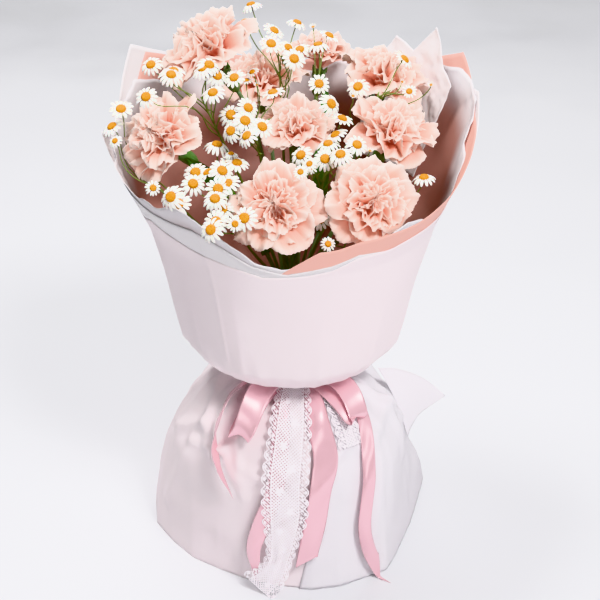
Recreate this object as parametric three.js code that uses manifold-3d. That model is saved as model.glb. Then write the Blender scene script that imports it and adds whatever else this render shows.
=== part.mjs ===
// A hand-tied bunch of nine carnations and ten sprays of chamomile in a paper wrap, tied with a
// satin bow and a lace ribbon. It stands on its cut stems and on the flared foot of the wrap.
//
// Millimetres, +Z up, -Y to the front. The origin is on the table, under the middle stem.
import * as THREE from 'three';
import { mergeVertices } from 'three/addons/utils/BufferGeometryUtils.js';
import Module from 'manifold-3d';

const wasm = await Module();
wasm.setup();

// ---------------------------------------------------------------- driving dimensions

const WAIST_HEIGHT = 186; // where the twine holds the stems
const WAIST_TOP = 240; // up to here every stem is straight
const STEM_PITCH = 4.6; // from stem to stem at the waist
const SPIRAL_LENGTH = 100; // height in which the spiral of stems turns by 45 degrees
const BUNDLE_TURN = -25; // degrees that the bundle is turned about Z
const CARNATION_STEM = 4.2; // stems have five sides; these are the circles through their corners
const SPRAY_STEM = 4;
const PEDICEL_RADIUS = 0.8;
const PEDICEL_ROOM = 3.2; // between a pedicel and the blooms it passes
const FORK_RADIUS = 1.2; // of a spray's stem where it forks
const FLOWER_STEP = 7; // neighbouring flowers of a spray stand this much higher or lower
const FORK_DEPTH = 58; // the fork lies this far below the middle of its flowers
const CALYX_LENGTH = 27;
const CALYX_RADIUS = 6.8;
const LEAF_WIDTH = 12;
const LEAF_LIFT = -14; // of a leaf's tip from the canopy
const LEAF_FACING = new THREE.Vector3(0, -0.5, 0.86);
const FLOWER_KINDS = { // chamomile flowers, from the middle to the tip of a ray and to the edge of the disc
  heads: { radius: 11, disc: 4.4, rays: 6 },
  small: { radius: 7, disc: 3.6, rays: 6 },
  buds: { radius: 3.2, disc: 0, rays: 0 },
};
const PETAL_THICKNESS = 1;
const PAPER_THICKNESS = 0.8;
const TRIM = 0.1; // crumbs of a joined solid smaller than this are smoothed away
const CLEARANCE = 0.3; // between pieces that touch
const COLUMN_ANGLE = 18; // width of one facet of a sheet, in degrees
const PLEAT = 1.4; // how far a gathered fold stands out

const CANOPY_HEIGHT = 421; // the flowers lie about a slope that rises to the back
const CANOPY_SLOPE = 0.3;

// The view of the photograph, which places the chamomile heads.
const VIEW = { distance: 1000, height: 810, pitch: 29.4, focal: 1216, axis: 292, middle: 300 };

// The carnations: the middle of each bloom, its size, the way it faces, its stem's place at the
// waist, counted round the middle stem (ring 0), the six about it and the outer twelve, and the
// pixel of the photograph where a leaf of it shows.
const CARNATIONS = [
  { centre: [-75, 40, 478], radius: 41, facing: [-0.5, -0.25, 0.85], ring: 2, place: 4 },
  { centre: [-111, -30, 422], radius: 36, facing: [-0.55, -0.5, 0.7], ring: 2, place: 5,
    leaf: [186, 158] },
  { centre: [-28, 95, 432], radius: 38, facing: [-0.1, -0.25, 1], ring: 2, place: 3 },
  { centre: [4, 0, 420], radius: 32, facing: [0, -0.28, 1], ring: 0, place: 0, leaf: [318, 174] },
  { centre: [28, 133, 446], radius: 28, facing: [0.1, 0.1, 1], ring: 2, place: 2 },
  { centre: [85, 78, 440], radius: 37, facing: [0.25, -0.2, 1], ring: 2, place: 1,
    leaf: [326, 78] },
  { centre: [88, 0, 417], radius: 36, facing: [0.35, -0.35, 1], ring: 2, place: 0 },
  { centre: [-14, -90, 384], radius: 36, facing: [-0.1, -0.85, 0.8], ring: 2, place: 9 },
  { centre: [66, -80, 384], radius: 36, facing: [0.25, -0.75, 0.8], ring: 2, place: 11 },
];

// The sprays of chamomile: the stem's place at the waist, how far the flowers stand above the
// canopy, and the open flowers, the small ones and the buds where the photograph shows them, as
// [column, row] in its pixels.
const SPRAYS = [
  {
    ring: 1,
    place: 3,
    lift: 55,
    heads: [[194, 57], [208, 57], [203, 69], [227, 70], [217, 76], [171, 75], [151, 65], [213, 93], [146, 97]],
    small: [],
    buds: [],
  },
  {
    ring: 1,
    place: 2,
    lift: 30,
    heads: [[251, 5], [245, 23], [274, 31], [297, 23], [288, 48], [271, 44], [300, 50], [294, 59]],
    small: [],
    buds: [[277, 50]],
  },
  {
    ring: 1,
    place: 1,
    lift: 30,
    heads: [[329, 36], [318, 45], [331, 104], [319, 84]],
    small: [],
    buds: [[313, 27]],
  },
  {
    ring: 1,
    place: 4,
    lift: 35,
    heads: [[231, 115], [248, 108], [245, 121], [262, 127], [231, 131], [247, 136], [273, 93]],
    small: [[245, 80], [250, 71]],
    buds: [[257, 85]],
  },
  {
    ring: 2,
    place: 6,
    lift: 16,
    heads: [[122, 129], [142, 124], [171, 197], [179, 204]],
    small: [[116, 141], [153, 188]],
    buds: [],
  },
  {
    ring: 2,
    place: 7,
    lift: 12,
    heads: [[192, 169], [193, 184], [218, 189], [208, 173], [222, 171], [228, 184], [246, 174], [217, 145],
      [215, 199], [222, 209], [216, 222], [211, 230], [245, 218]],
    small: [[228, 162], [231, 154], [235, 224]],
    buds: [],
  },
  {
    ring: 1,
    place: 5,
    lift: 12,
    heads: [[315, 137], [335, 135], [342, 119], [369, 140], [325, 159], [344, 160], [301, 155]],
    small: [[310, 167], [304, 171], [297, 177]],
    buds: [[370, 151]],
  },
  {
    ring: 1,
    place: 0,
    lift: 20,
    heads: [[395, 67], [359, 88]],
    small: [[406, 99]],
    buds: [[402, 82], [431, 85], [353, 96]],
  },
  {
    ring: 2,
    place: 10,
    lift: -20,
    heads: [[322, 215], [424, 178]],
    small: [[328, 244]],
    buds: [],
  },
];

// Sheets of the wrap, from the inside out. A profile is [radius, height] of the sheet's middle
// surface from the waist up; the rim is [azimuth, height] round the mouth.
const MOUTH = [[130, 340], [150, 385], [166, 417], [181, 460], [192, 500]];
const TISSUE = {
  profile: [[15, 182], [15, 197.5], [76, 272], [103, 320]],
  inset: 9.5, // from the mouth's outermost sheet
  rim: [
    [5, 425], [20, 440], [40, 446], [90, 415], [135, 425], [150, 433], [170, 412], [185, 398],
    [200, 382], [215, 375], [240, 371], [262, 364], [275, 352], [300, 346], [335, 354], [350, 400],
  ],
};
const PEACH = {
  profile: [[16.2, 182], [16.2, 196], [81, 256], [107, 306]],
  inset: 6.5,
  rim: [
    [10, 420], [29, 459], [45, 440], [90, 425], [135, 440], [146, 455], [160, 425], [185, 372],
    [200, 356], [230, 350], [270, 350], [285, 358], [300, 366], [330, 374], [350, 395],
  ],
};
const FILM = {
  profile: [[17.4, 182], [17.4, 194.8], [80, 207.5], [102, 229], [117, 302]],
  inset: 3.2,
  rim: [
    [14, 437], [60, 428], [90, 420], [120, 430], [146, 462], [170, 400], [182, 418], [200, 360],
    [215, 358], [270, 357], [335, 359], [350, 385],
  ],
};
const OUTER = {
  profile: [[18.6, 182], [18.6, 193.6], [86, 203], [105, 224], [120, 298]],
  inset: 0,
  rim: [[10, 372], [60, 420], [120, 424], [170, 372], [200, 352], [270, 348], [340, 353]],
};
const CRUMPLED_ROWS = [[352, 0.5], [385, 2.5], [420, 4], [null, 4]]; // height, gap to the tissue
const CRUMPLED_RIM = [[22.5, 436], [30, 448], [37.5, 478], [45, 452], [52.5, 462], [60, 430]];

// The foot: [radius, height] from the waist down to the hem.
const FOOT = [
  [19.8, 192], [19.8, 184], [58, 180.3], [78, 176], [98, 158], [111, 132], [120, 108], [128, 56], [133, 0],
];
const FOOT_LAP = 1.2; // the white sheet lies this far outside the pink one
const FOOT_PLEAT = 0.5; // its gathers at the shoulder
const FOOT_OVAL = 0.04; // the foot is a little wider than deep

// The corner of the white sheet that stands out at the right, as rows from its root to its tip.
const FLAP = [
  [[84, 2, 164], [118, -14, 104]],
  [[103, 6, 161], [124, -8, 116]],
  [[130, 10, 150], [131, 0, 126]],
  [[153, 11, 133]],
];

// Ribbons, as stations [azimuth, way down the foot from the waist, lift from it, width, twist in
// degrees]. They leave the knot in layers: tails lowest, then the loops, then the lace.
const RIBBONS = {
  ribbon_loop_left: [
    [257, 6, 3.4, 8], [249, 28, 3.2, 16], [243, 52, 3.6, 24], [238, 74, 6, 24], [236, 82, 9.5, 24],
    [238, 74, 13, 24], [243, 52, 10, 24], [249, 28, 5.6, 16], [257, 6, 5.2, 8],
  ],
  ribbon_loop_right: [
    [290, 6, 3.4, 8], [298, 28, 3.4, 16], [303, 52, 5.4, 22], [306, 66, 6, 22], [307, 72, 9, 22],
    [306, 66, 12, 22], [302, 50, 10, 20], [297, 28, 5.6, 16], [290, 6, 5.2, 8],
  ],
  ribbon_tail_1: [
    [235, 4, 2.4, 6], [226, 34, 2.4, 10], [225, 59, 5, 14, 30], [228, 92, 11, 20, 62],
    [231, 119, 11, 20, 66], [238, 146, 9, 12, 60],
  ],
  ribbon_tail_2: [
    [250, 4, 1.5, 7], [248, 30, 1.5, 16], [250, 75, 1.5, 24], [252, 130, 1.5, 24],
    [250, 184, 1.5, 24], [253, 207, 1.5, 20], [255, 221, 1.5, 6],
  ],
  ribbon_tail_3: [
    [282, 4, 1.5, 7], [288, 30, 1.5, 14], [287, 71, 1.5, 22], [290, 106, 1.5, 24],
    [285, 136, 1.5, 24], [280, 176, 1.5, 24], [277, 191, 1.5, 22], [272, 225, 1.5, 5],
  ],
  ribbon_tail_4: [
    [308, 4, 2, 6], [316, 30, 1.6, 10], [318, 60, 2, 12, -6], [313, 98, 10, 20, -50],
    [311, 130, 10, 20, -54], [307, 178, 10, 20, -54], [307, 212, 9, 16, -50], [308, 234, 6, 5, -30],
  ],
};
const LACES = {
  lace_end: [[302, 22, 1.5, 8], [304, 60, 1.5, 12], [305, 92, 1.5, 14]],
  lace_tail: [
    [272, 6, 7.2, 16], [272, 30, 7.2, 26], [269, 60, 6, 36], [267, 90, 5, 42],
    [264, 125, 5, 46], [264, 165, 5, 46], [261, 205, 5, 42], [258, 236, 4.4, 32],
  ],
};
const LACE_KNOT = [[272, 16, 9.2, 24], [273, 34, 9.4, 28], [274, 50, 9.4, 8]];
const LACE_KNOT_THICKNESS = 2.2;

// Rings round the waist, as [radius, height] of their sections.
const TIE_SECTION = [[12, 181.5], [13.9, 182], [13.9, 190], [12, 190.5]];
const BAND_SECTION = [[21.8, 186.2], [22.6, 186.2], [22.6, 193], [21.8, 193]];
const KNOT_AZIMUTHS = [256, 264, 272, 280, 288];
const KNOT_HEIGHTS = [188, 193];
const KNOT_RADII = [25.4, 23];

// ---------------------------------------------------------------- small tools

const UP = new THREE.Vector3(0, 0, 1);
const radians = THREE.MathUtils.degToRad;
const vector = (list) => new THREE.Vector3(...list);
const mix = (a, b, share) => a + (b - a) * share;

/** A seeded source of even draws between two limits. */
function draws(seed) {
  let state = seed >>> 0;
  return (low, high) => {
    state = (state + 0x6d2b79f5) >>> 0;
    let bits = Math.imul(state ^ (state >>> 15), state | 1);
    bits ^= bits + Math.imul(bits ^ (bits >>> 7), bits | 61);
    return mix(low, high, ((bits ^ (bits >>> 14)) >>> 0) / 4294967296);
  };
}

/** The solid that a closed geometry bounds, with its faces pointing out. */
function solidOf(geometry) {
  geometry.deleteAttribute('normal');
  geometry.deleteAttribute('uv');
  const merged = mergeVertices(geometry, 1e-4);
  const vertProperties = Float32Array.from(merged.attributes.position.array);
  const triVerts = Uint32Array.from(merged.index.array);
  const solid = new wasm.Manifold(new wasm.Mesh({ numProp: 3, vertProperties, triVerts }));
  if (solid.volume() > 0) return solid;
  return new wasm.Manifold(new wasm.Mesh({ numProp: 3, vertProperties, triVerts: triVerts.reverse() }));
}

/** A geometry of points and triangles. */
function geometryOf(points, triangles) {
  const geometry = new THREE.BufferGeometry();
  const places = points.flatMap((point) => point.toArray());
  geometry.setAttribute('position', new THREE.Float32BufferAttribute(places, 3));
  geometry.setIndex(triangles.flat());
  return geometry;
}

/** The value of a list of [place, value] pairs at a place, linear between them. */
function along(pairs, place) {
  const last = pairs.length - 1;
  if (place <= pairs[0][0]) return pairs[0][1];
  for (let i = 1; i <= last; i += 1) {
    const [start, from] = pairs[i - 1];
    const [end, to] = pairs[i];
    if (place <= end) return mix(from, to, (place - start) / (end - start));
  }
  return pairs[last][1];
}

/** The value of [azimuth, value] pairs at an azimuth, going all the way round. */
function around(pairs, azimuth) {
  const turned = ((azimuth % 360) + 360) % 360;
  const [first, last] = [pairs[0], pairs[pairs.length - 1]];
  return along([[last[0] - 360, last[1]], ...pairs, [first[0] + 360, first[1]]], turned);
}

function polar(radius, azimuth, height) {
  const angle = radians(azimuth);
  return new THREE.Vector3(radius * Math.cos(angle), radius * Math.sin(angle), height);
}

/** Two axes square to a direction, the first as near as can be to a given one. */
function crossAxes(direction, near) {
  const side = near.clone().addScaledVector(direction, -near.dot(direction)).normalize();
  return [side, direction.clone().cross(side)];
}

/** A world axis that a direction runs least along. */
function leastAxis(direction) {
  const sizes = direction.toArray().map(Math.abs);
  const axis = new THREE.Vector3();
  axis.setComponent(sizes.indexOf(Math.min(...sizes)), 1);
  return axis;
}

// ---------------------------------------------------------------- stems and pedicels

/** A five-sided tube through points, with a radius at each, as rings joined by triangles. */
function tube(points, radii) {
  const sides = 5;
  const rings = points.map((point, i) => {
    const before = points[Math.max(i - 1, 0)];
    const after = points[Math.min(i + 1, points.length - 1)];
    const direction = point.z === 0 ? UP : after.clone().sub(before).normalize();
    const [side, other] = crossAxes(direction, new THREE.Vector3(1, 0, 0));
    return Array.from({ length: sides }, (_, k) => {
      const angle = (2 * Math.PI * k) / sides;
      return point.clone()
        .addScaledVector(side, radii[i] * Math.cos(angle))
        .addScaledVector(other, radii[i] * Math.sin(angle));
    });
  });
  const triangles = [];
  rings.slice(1).forEach((_, i) => {
    for (let k = 0; k < sides; k += 1) {
      const [a, b] = [i * sides + k, i * sides + ((k + 1) % sides)];
      triangles.push([a, b, b + sides], [a, b + sides, a + sides]);
    }
  });
  const end = (rings.length - 1) * sides;
  for (let k = 1; k < sides - 1; k += 1) {
    triangles.push([0, k + 1, k], [end, end + k, end + k + 1]);
  }
  return solidOf(geometryOf(rings.flat(), triangles));
}

/** Where a stem crosses the waist, from its ring and its place in the ring. */
function waistPlace({ ring, place }) {
  const onCorner = ring < 2 || place % 2 === 0;
  const reach = STEM_PITCH * (onCorner ? ring : Math.sqrt(3));
  return polar(reach, BUNDLE_TURN + place * (ring === 2 ? 30 : 60), WAIST_HEIGHT);
}

/** The point of a straight, spiralling stem at a height. */
function spiralPoint(waist, height) {
  const turn = (height - WAIST_HEIGHT) / SPIRAL_LENGTH;
  return new THREE.Vector3(waist.x - turn * waist.y, waist.y + turn * waist.x, height);
}

/** The line of a stem: straight through the waist, then a curve that ends along a direction. */
function stemLine(spot, end, direction, reach, steps) {
  const waist = waistPlace(spot);
  const top = spiralPoint(waist, WAIST_TOP);
  const lead = top.clone().sub(waist).normalize().multiplyScalar(reach);
  const curve = new THREE.CubicBezierCurve3(
    top,
    top.clone().add(lead),
    end.clone().addScaledVector(direction, -reach),
    end,
  );
  return [spiralPoint(waist, 0), spiralPoint(waist, WAIST_HEIGHT), ...curve.getPoints(steps)];
}

// ---------------------------------------------------------------- carnations

const BLOOM_DEPTH = 0.62; // half a bloom's depth, as a share of its radius
const PETAL_ROWS = [
  { count: 6, reach: 0.97, rise: 0.38, width: 0.92, stagger: 0.1, teeth: 4 },
  { count: 4, reach: 0.76, rise: 0.76, width: 0.84, stagger: 0.05, teeth: 3 },
  { count: 3, reach: 0.44, rise: 1.0, width: 0.6, stagger: 0.03, teeth: 3 },
];

/** Base, axis and cross axes of a bloom. */
function bloomFrame({ centre, radius, facing }) {
  const axis = vector(facing).normalize();
  const [side, other] = crossAxes(axis, leastAxis(axis));
  return { axis, side, other, base: vector(centre).addScaledVector(axis, -BLOOM_DEPTH * radius) };
}

/** A blade from rows of points, its thickness laid half to each side. */
function blade(rows, normal, thickness) {
  const flat = rows.flat();
  const count = flat.length;
  const points = [0.5, -0.5].flatMap((face) => (
    flat.map((point) => point.clone().addScaledVector(normal, face * thickness))
  ));
  const front = strips(rows);
  const back = front.map(([a, b, c]) => [a + count, c + count, b + count]);
  return solidOf(geometryOf(points, [...front, ...back, ...walls(front, count)]));
}

/** Triangles between two rows of points, taken in step from their left ends to their right. */
function zip(first, firstCount, second, secondCount) {
  const triangles = [];
  let [i, j] = [0, 0];
  while (i < firstCount - 1 || j < secondCount - 1) {
    const stepSecond = i === firstCount - 1
      || (j < secondCount - 1 && (j + 1) / (secondCount - 1) <= (i + 1) / Math.max(firstCount - 1, 1));
    if (stepSecond) {
      triangles.push([first + i, second + j + 1, second + j]);
      j += 1;
    } else {
      triangles.push([first + i, first + i + 1, second + j]);
      i += 1;
    }
  }
  return triangles;
}

/** Triangles between rows of points of any lengths, numbered through the rows. */
function strips(rows) {
  let start = 0;
  return rows.slice(1).flatMap((row, i) => {
    const first = start;
    start += rows[i].length;
    return zip(first, rows[i].length, start, row.length);
  });
}

/** The wall round a blade: two triangles for each edge that only one front triangle has. */
function walls(front, count) {
  const edges = front.flatMap(([a, b, c]) => [[a, b], [b, c], [c, a]]);
  const used = new Set(edges.map(([a, b]) => `${a}-${b}`));
  return edges
    .filter(([a, b]) => !used.has(`${b}-${a}`))
    .flatMap(([a, b]) => [[b, a, a + count], [b, a + count, b + count]]);
}

/** One petal: a narrow claw that widens to a ruffled, toothed edge. */
function petal(frame, radius, row, index, draw) {
  const angle = (2 * Math.PI * (index + draw(-0.12, 0.12))) / row.count + row.rise * 2.1;
  const outward = frame.side.clone().applyAxisAngle(frame.axis, angle);
  const across = frame.axis.clone().cross(outward);
  const reach = radius * row.reach * draw(0.93, 1);
  const rise = radius * (row.rise + row.stagger * (index % 2 ? 1 : -1));
  const width = radius * row.width;
  const at = (out, up, over) => frame.base.clone()
    .addScaledVector(outward, out)
    .addScaledVector(frame.axis, up)
    .addScaledVector(across, over);
  const middle = [0.2, -0.2].map((over) => at(reach * 0.52, mix(0.3 * radius, rise, 0.72), over * width));
  const edge = Array.from({ length: row.teeth }, (_, i) => {
    const over = 0.5 - i / (row.teeth - 1);
    const tooth = radius * (i % 2 ? draw(0.02, 0.08) : draw(-0.07, 0));
    const ruffle = radius * (i % 2 ? 1 : -1) * draw(0.02, 0.06);
    const rounding = radius * 0.28 * over * over;
    return at(reach - rounding + tooth * row.reach, rise + ruffle, over * width);
  });
  const root = [at(0.16 * radius, 0.32 * radius, 0)];
  const normal = frame.axis.clone().multiplyScalar(row.reach).addScaledVector(outward, -row.rise).normalize();
  return blade([root, middle, edge], normal, PETAL_THICKNESS);
}

/** A bloom: petals in rows round a smaller core that narrows into the calyx. */
function carnationBloom(carnation, seed) {
  const frame = bloomFrame(carnation);
  const { radius } = carnation;
  const draw = draws(seed);
  const at = (up) => frame.base.clone().addScaledVector(frame.axis, up);
  const round = (up, out) => ringOf(at(up), frame.axis, frame.side, Array(6).fill(out));
  const frill = Array.from({ length: 12 }, (_, i) => radius * (i % 2 ? 0.2 : 0.36) * draw(0.9, 1.1));
  const core = skin(at(CLEARANCE), [
    round(CLEARANCE, 4.6),
    round(0.36 * radius, 0.28 * radius),
    round(0.7 * radius, 0.3 * radius),
    ringOf(at(0.98 * radius), frame.axis, frame.side, frill),
  ], at(0.88 * radius));
  const petals = PETAL_ROWS.flatMap((row) => (
    Array.from({ length: row.count }, (_, i) => petal(frame, radius, row, i, draw))
  ));
  return wasm.Manifold.union([core, ...petals]).simplify(TRIM);
}

/** A leaf from a point of the stem to a tip among the flowers. */
function stemLeaf(root, tip) {
  const direction = tip.clone().sub(root).normalize();
  const [normal, across] = crossAxes(direction, LEAF_FACING);
  const rows = [[0, 0], [0.35, 0.6], [0.75, 1], [1, 0]].map(([share, width]) => {
    const middle = root.clone().lerp(tip, share);
    if (width === 0) return [middle];
    return [0.5, -0.5].map((side) => middle.clone().addScaledVector(across, side * width * LEAF_WIDTH));
  });
  return blade(rows, normal, PETAL_THICKNESS);
}

/** A carnation's stem with its calyx and, where one shows between the flowers, a leaf. */
function carnationStem(carnation) {
  const { axis, base } = bloomFrame(carnation);
  const calyxFoot = base.clone().addScaledVector(axis, -CALYX_LENGTH);
  const line = stemLine(carnation, calyxFoot, axis, 50, 5);
  const shoulder = base.clone().addScaledVector(axis, -0.75 * CALYX_LENGTH);
  const radii = [...line.map(() => CARNATION_STEM / 2), 0.8 * CALYX_RADIUS, CALYX_RADIUS];
  const stem = tube([...line, shoulder, base], radii);
  if (!carnation.leaf) return stem;
  return stem.add(stemLeaf(line[4], canopyPoint(carnation.leaf, LEAF_LIFT)));
}

// ---------------------------------------------------------------- chamomile

/** Where the photograph's pixel lies on the canopy raised by a lift. */
function canopyPoint([column, row], lift) {
  const pitch = radians(VIEW.pitch);
  const across = (column - VIEW.axis) / VIEW.focal;
  const down = (row - VIEW.middle) / VIEW.focal;
  const ray = new THREE.Vector3(
    across,
    Math.cos(pitch) - down * Math.sin(pitch),
    -Math.sin(pitch) - down * Math.cos(pitch),
  );
  const level = CANOPY_HEIGHT + lift - CANOPY_SLOPE * VIEW.distance - VIEW.height;
  const distance = level / (ray.z - CANOPY_SLOPE * ray.y);
  return new THREE.Vector3(0, -VIEW.distance, VIEW.height).addScaledVector(ray, distance);
}

/** Moves a point out of the blooms until it is a margin clear of them. */
function clearOfBlooms(point, margin) {
  CARNATIONS.forEach((carnation) => {
    const { axis } = bloomFrame(carnation);
    const offset = point.clone().sub(vector(carnation.centre));
    const rise = offset.dot(axis);
    const flat = offset.clone().addScaledVector(axis, -rise);
    const depth = rise > 0 ? BLOOM_DEPTH * carnation.radius : 0.8 * carnation.radius;
    const size = Math.hypot(flat.length() / (1.08 * carnation.radius + margin), rise / (depth + margin));
    if (size < 1) point.copy(vector(carnation.centre)).addScaledVector(offset, 1 / size);
  });
  return point;
}

/** A closed ring of points round a place, square to a direction. */
function ringOf(place, direction, near, radii, turn = 0) {
  const [side, other] = crossAxes(direction, near);
  return Array.from({ length: radii.length + 1 }, (_, k) => {
    const angle = turn + (2 * Math.PI * k) / radii.length;
    return place.clone()
      .addScaledVector(side, radii[k % radii.length] * Math.cos(angle))
      .addScaledVector(other, radii[k % radii.length] * Math.sin(angle));
  });
}

/** A skin through closed rings of any number of points, with a point at each end. */
function skin(start, rings, end) {
  const ends = [[start, rings[0]], [end, rings[rings.length - 1]]];
  const [first, last] = ends.map(([point, ring]) => Array(ring.length).fill(point));
  const rows = [first, ...rings, last];
  const points = rows.flat();
  const apart = (a, b) => points[a].distanceTo(points[b]) > 1e-3;
  const whole = strips(rows).filter(([a, b, c]) => apart(a, b) && apart(b, c) && apart(c, a));
  return solidOf(geometryOf(points, whole));
}

/** A flower on its pedicel, in one skin: rays round a domed disc, or a bud. */
function flower(line, facing, kind) {
  const near = leastAxis(facing);
  const stalk = line.slice(0, -1).map((point, i) => (
    ringOf(point, line[i + 1].clone().sub(point).normalize(), near, Array(3).fill(PEDICEL_RADIUS))
  ));
  const place = line[line.length - 1];
  const above = (rise) => place.clone().addScaledVector(facing, rise);
  if (kind.rays === 0) {
    const belly = ringOf(place, facing, near, Array(5).fill(kind.radius));
    return skin(line[0], [...stalk, belly], above(kind.radius));
  }
  const outline = Array.from({ length: 2 * kind.rays }, (_, k) => kind.radius * (k % 2 ? 0.62 : 1));
  const rim = ringOf(place, facing, near, outline);
  const disc = ringOf(above(1.4), facing, near, Array(5).fill(kind.disc));
  return skin(line[0], [...stalk, rim, disc], above(3.2));
}

/** Every flower of a spray with its kind and its place, clear of the blooms. */
function sprayFlowers(spray) {
  return Object.entries(FLOWER_KINDS).flatMap(([name, kind]) => spray[name].map((pixel, i) => {
    const place = canopyPoint(pixel, spray.lift + FLOWER_STEP * ((i % 3) - 1));
    for (let pass = 0; pass < 3; pass += 1) clearOfBlooms(place, kind.radius + 1);
    return { kind, place };
  }));
}

/** The line of a pedicel: straight enough, or bent clear of the blooms that it would cross. */
function pedicelLine(root, rising, { place, facing }) {
  const towards = place.clone().sub(root).normalize();
  const curve = new THREE.CubicBezierCurve3(
    root,
    root.clone().addScaledVector(towards, 12).addScaledVector(rising, 6),
    place.clone().addScaledVector(facing, -14),
    place,
  );
  const free = curve.getPoints(8).slice(1, -1);
  const blocked = free.some((point) => clearOfBlooms(point.clone(), PEDICEL_ROOM).distanceTo(point) > 0.01);
  const points = curve.getPoints(blocked ? 4 : 2);
  points.slice(1, -1).forEach((point) => clearOfBlooms(point, 2 * PEDICEL_ROOM));
  return points;
}

/** A spray: a stem that runs on as an axis, and a curved pedicel from the axis to each flower. */
function chamomileSpray(spray, seed) {
  const draw = draws(seed);
  const flowers = sprayFlowers(spray);
  const sum = flowers.reduce((total, { place }) => total.add(place), new THREE.Vector3());
  const mean = sum.divideScalar(flowers.length);
  const fork = new THREE.Vector3(0.72 * mean.x, 0.72 * mean.y, mean.z - FORK_DEPTH);
  const rising = mean.clone().sub(fork).normalize();
  const crown = clearOfBlooms(mean.clone().addScaledVector(rising, -0.35 * FORK_DEPTH), 2 * PEDICEL_ROOM);
  const line = stemLine(spray, fork, rising, 40, 4);
  const taper = [[WAIST_TOP, SPRAY_STEM / 2], [fork.z, FORK_RADIUS]];
  const radii = [...line.map((point) => along(taper, point.z)), 0.6 * FORK_RADIUS];
  flowers.sort((a, b) => b.place.distanceTo(mean) - a.place.distanceTo(mean));
  const pedicels = flowers.map((item, i) => {
    const root = fork.clone().lerp(crown, (i + 0.3) / flowers.length);
    const outward = item.place.clone().sub(root).normalize();
    item.facing = new THREE.Vector3(draw(-0.2, 0.2), -0.45, 0.6).addScaledVector(outward, 0.6).normalize();
    return flower(pedicelLine(root, rising, item), item.facing, item.kind);
  });
  return wasm.Manifold.union([tube([...line, crown], radii), ...pedicels]).simplify(TRIM);
}

// ---------------------------------------------------------------- paper

/** A sheet from a grid of points, each with an outer and an inner place; it may close on itself. */
function sheet(columns, closed) {
  const rows = columns[0].length;
  const count = columns.length * rows;
  const points = [0, 1].flatMap((face) => columns.flatMap((column) => column.map((pair) => pair[face])));
  const front = [];
  const lastColumn = closed ? columns.length : columns.length - 1;
  for (let i = 0; i < lastColumn; i += 1) {
    for (let j = 0; j < rows - 1; j += 1) {
      const [a, b] = [i * rows + j, ((i + 1) % columns.length) * rows + j];
      front.push([a, b, b + 1], [a, b + 1, a + 1]);
    }
  }
  const back = front.map(([a, b, c]) => [a + count, c + count, b + count]);
  return solidOf(geometryOf(points, [...front, ...back, ...walls(front, count)]));
}

/** Outer and inner place of a profile's point at an azimuth. */
function paperPair(profile, radius, height, azimuth, ripple = 0) {
  const radiusAt = (z) => along(profile.map(([r, h]) => [h, r]), z);
  const [below, above] = [height - 0.5, height + 0.5];
  const tangent = new THREE.Vector2(radiusAt(above) - radiusAt(below), 1).normalize();
  return [0.5, -0.5].map((side) => polar(
    radius + ripple + side * PAPER_THICKNESS * tangent.y,
    azimuth,
    height - side * PAPER_THICKNESS * tangent.x,
  ));
}

/** How far a gathered sheet's fold stands out at a height above or below the waist. */
function ripple(index, distance) {
  return (index % 2 ? 1 : -1) * PLEAT * along([[10, 0], [45, 1], [110, 0]], distance);
}

/** A sheet of the wrap: its profile's rows, then free rows up to its rim. */
function wrapSheet({ profile, inset, rim }) {
  const whole = [...profile, ...MOUTH.map(([radius, height]) => [radius - inset, height])];
  const heightRadius = whole.map(([radius, height]) => [height, radius]);
  const fixed = whole.slice(0, profile.length + 1);
  const top = MOUTH[0][1];
  const columns = Array.from({ length: 360 / COLUMN_ANGLE }, (_, i) => {
    const azimuth = i * COLUMN_ANGLE;
    const free = [0.5, 1].map((share) => mix(top, around(rim, azimuth), share));
    const rows = [...fixed, ...free.map((height) => [along(heightRadius, height), height])];
    return rows.map(([radius, height]) => (
      paperPair(whole, radius, height, azimuth, ripple(i, height - WAIST_HEIGHT))
    ));
  });
  return sheet(columns, true);
}

/** The loose, crumpled corner of tissue at the back right, inside the tissue sheet. */
function crumpledSheet() {
  const whole = MOUTH.map(([radius, height]) => [height, radius - TISSUE.inset]);
  const columns = CRUMPLED_RIM.map(([azimuth, top], i) => {
    const offChord = ((azimuth % COLUMN_ANGLE) / COLUMN_ANGLE - 0.5) * COLUMN_ANGLE;
    const chord = Math.cos(radians(COLUMN_ANGLE / 2)) / Math.cos(radians(offChord));
    return CRUMPLED_ROWS.map(([level, inset], row) => {
      const height = level ?? top;
      const radius = along(whole, height) * chord - PAPER_THICKNESS - inset - (level ? 0 : 3 * (i % 2));
      return paperPair(MOUTH, radius, height, azimuth);
    });
  });
  return sheet(columns, false);
}

/** The foot's radius factor round the waist: a little wider at the sides than in front. */
function footFactor(azimuth, height) {
  return 1 + FOOT_OVAL * Math.cos(2 * radians(azimuth)) * along([[0, 1], [176, 0.3], [184, 0]], height);
}

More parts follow.
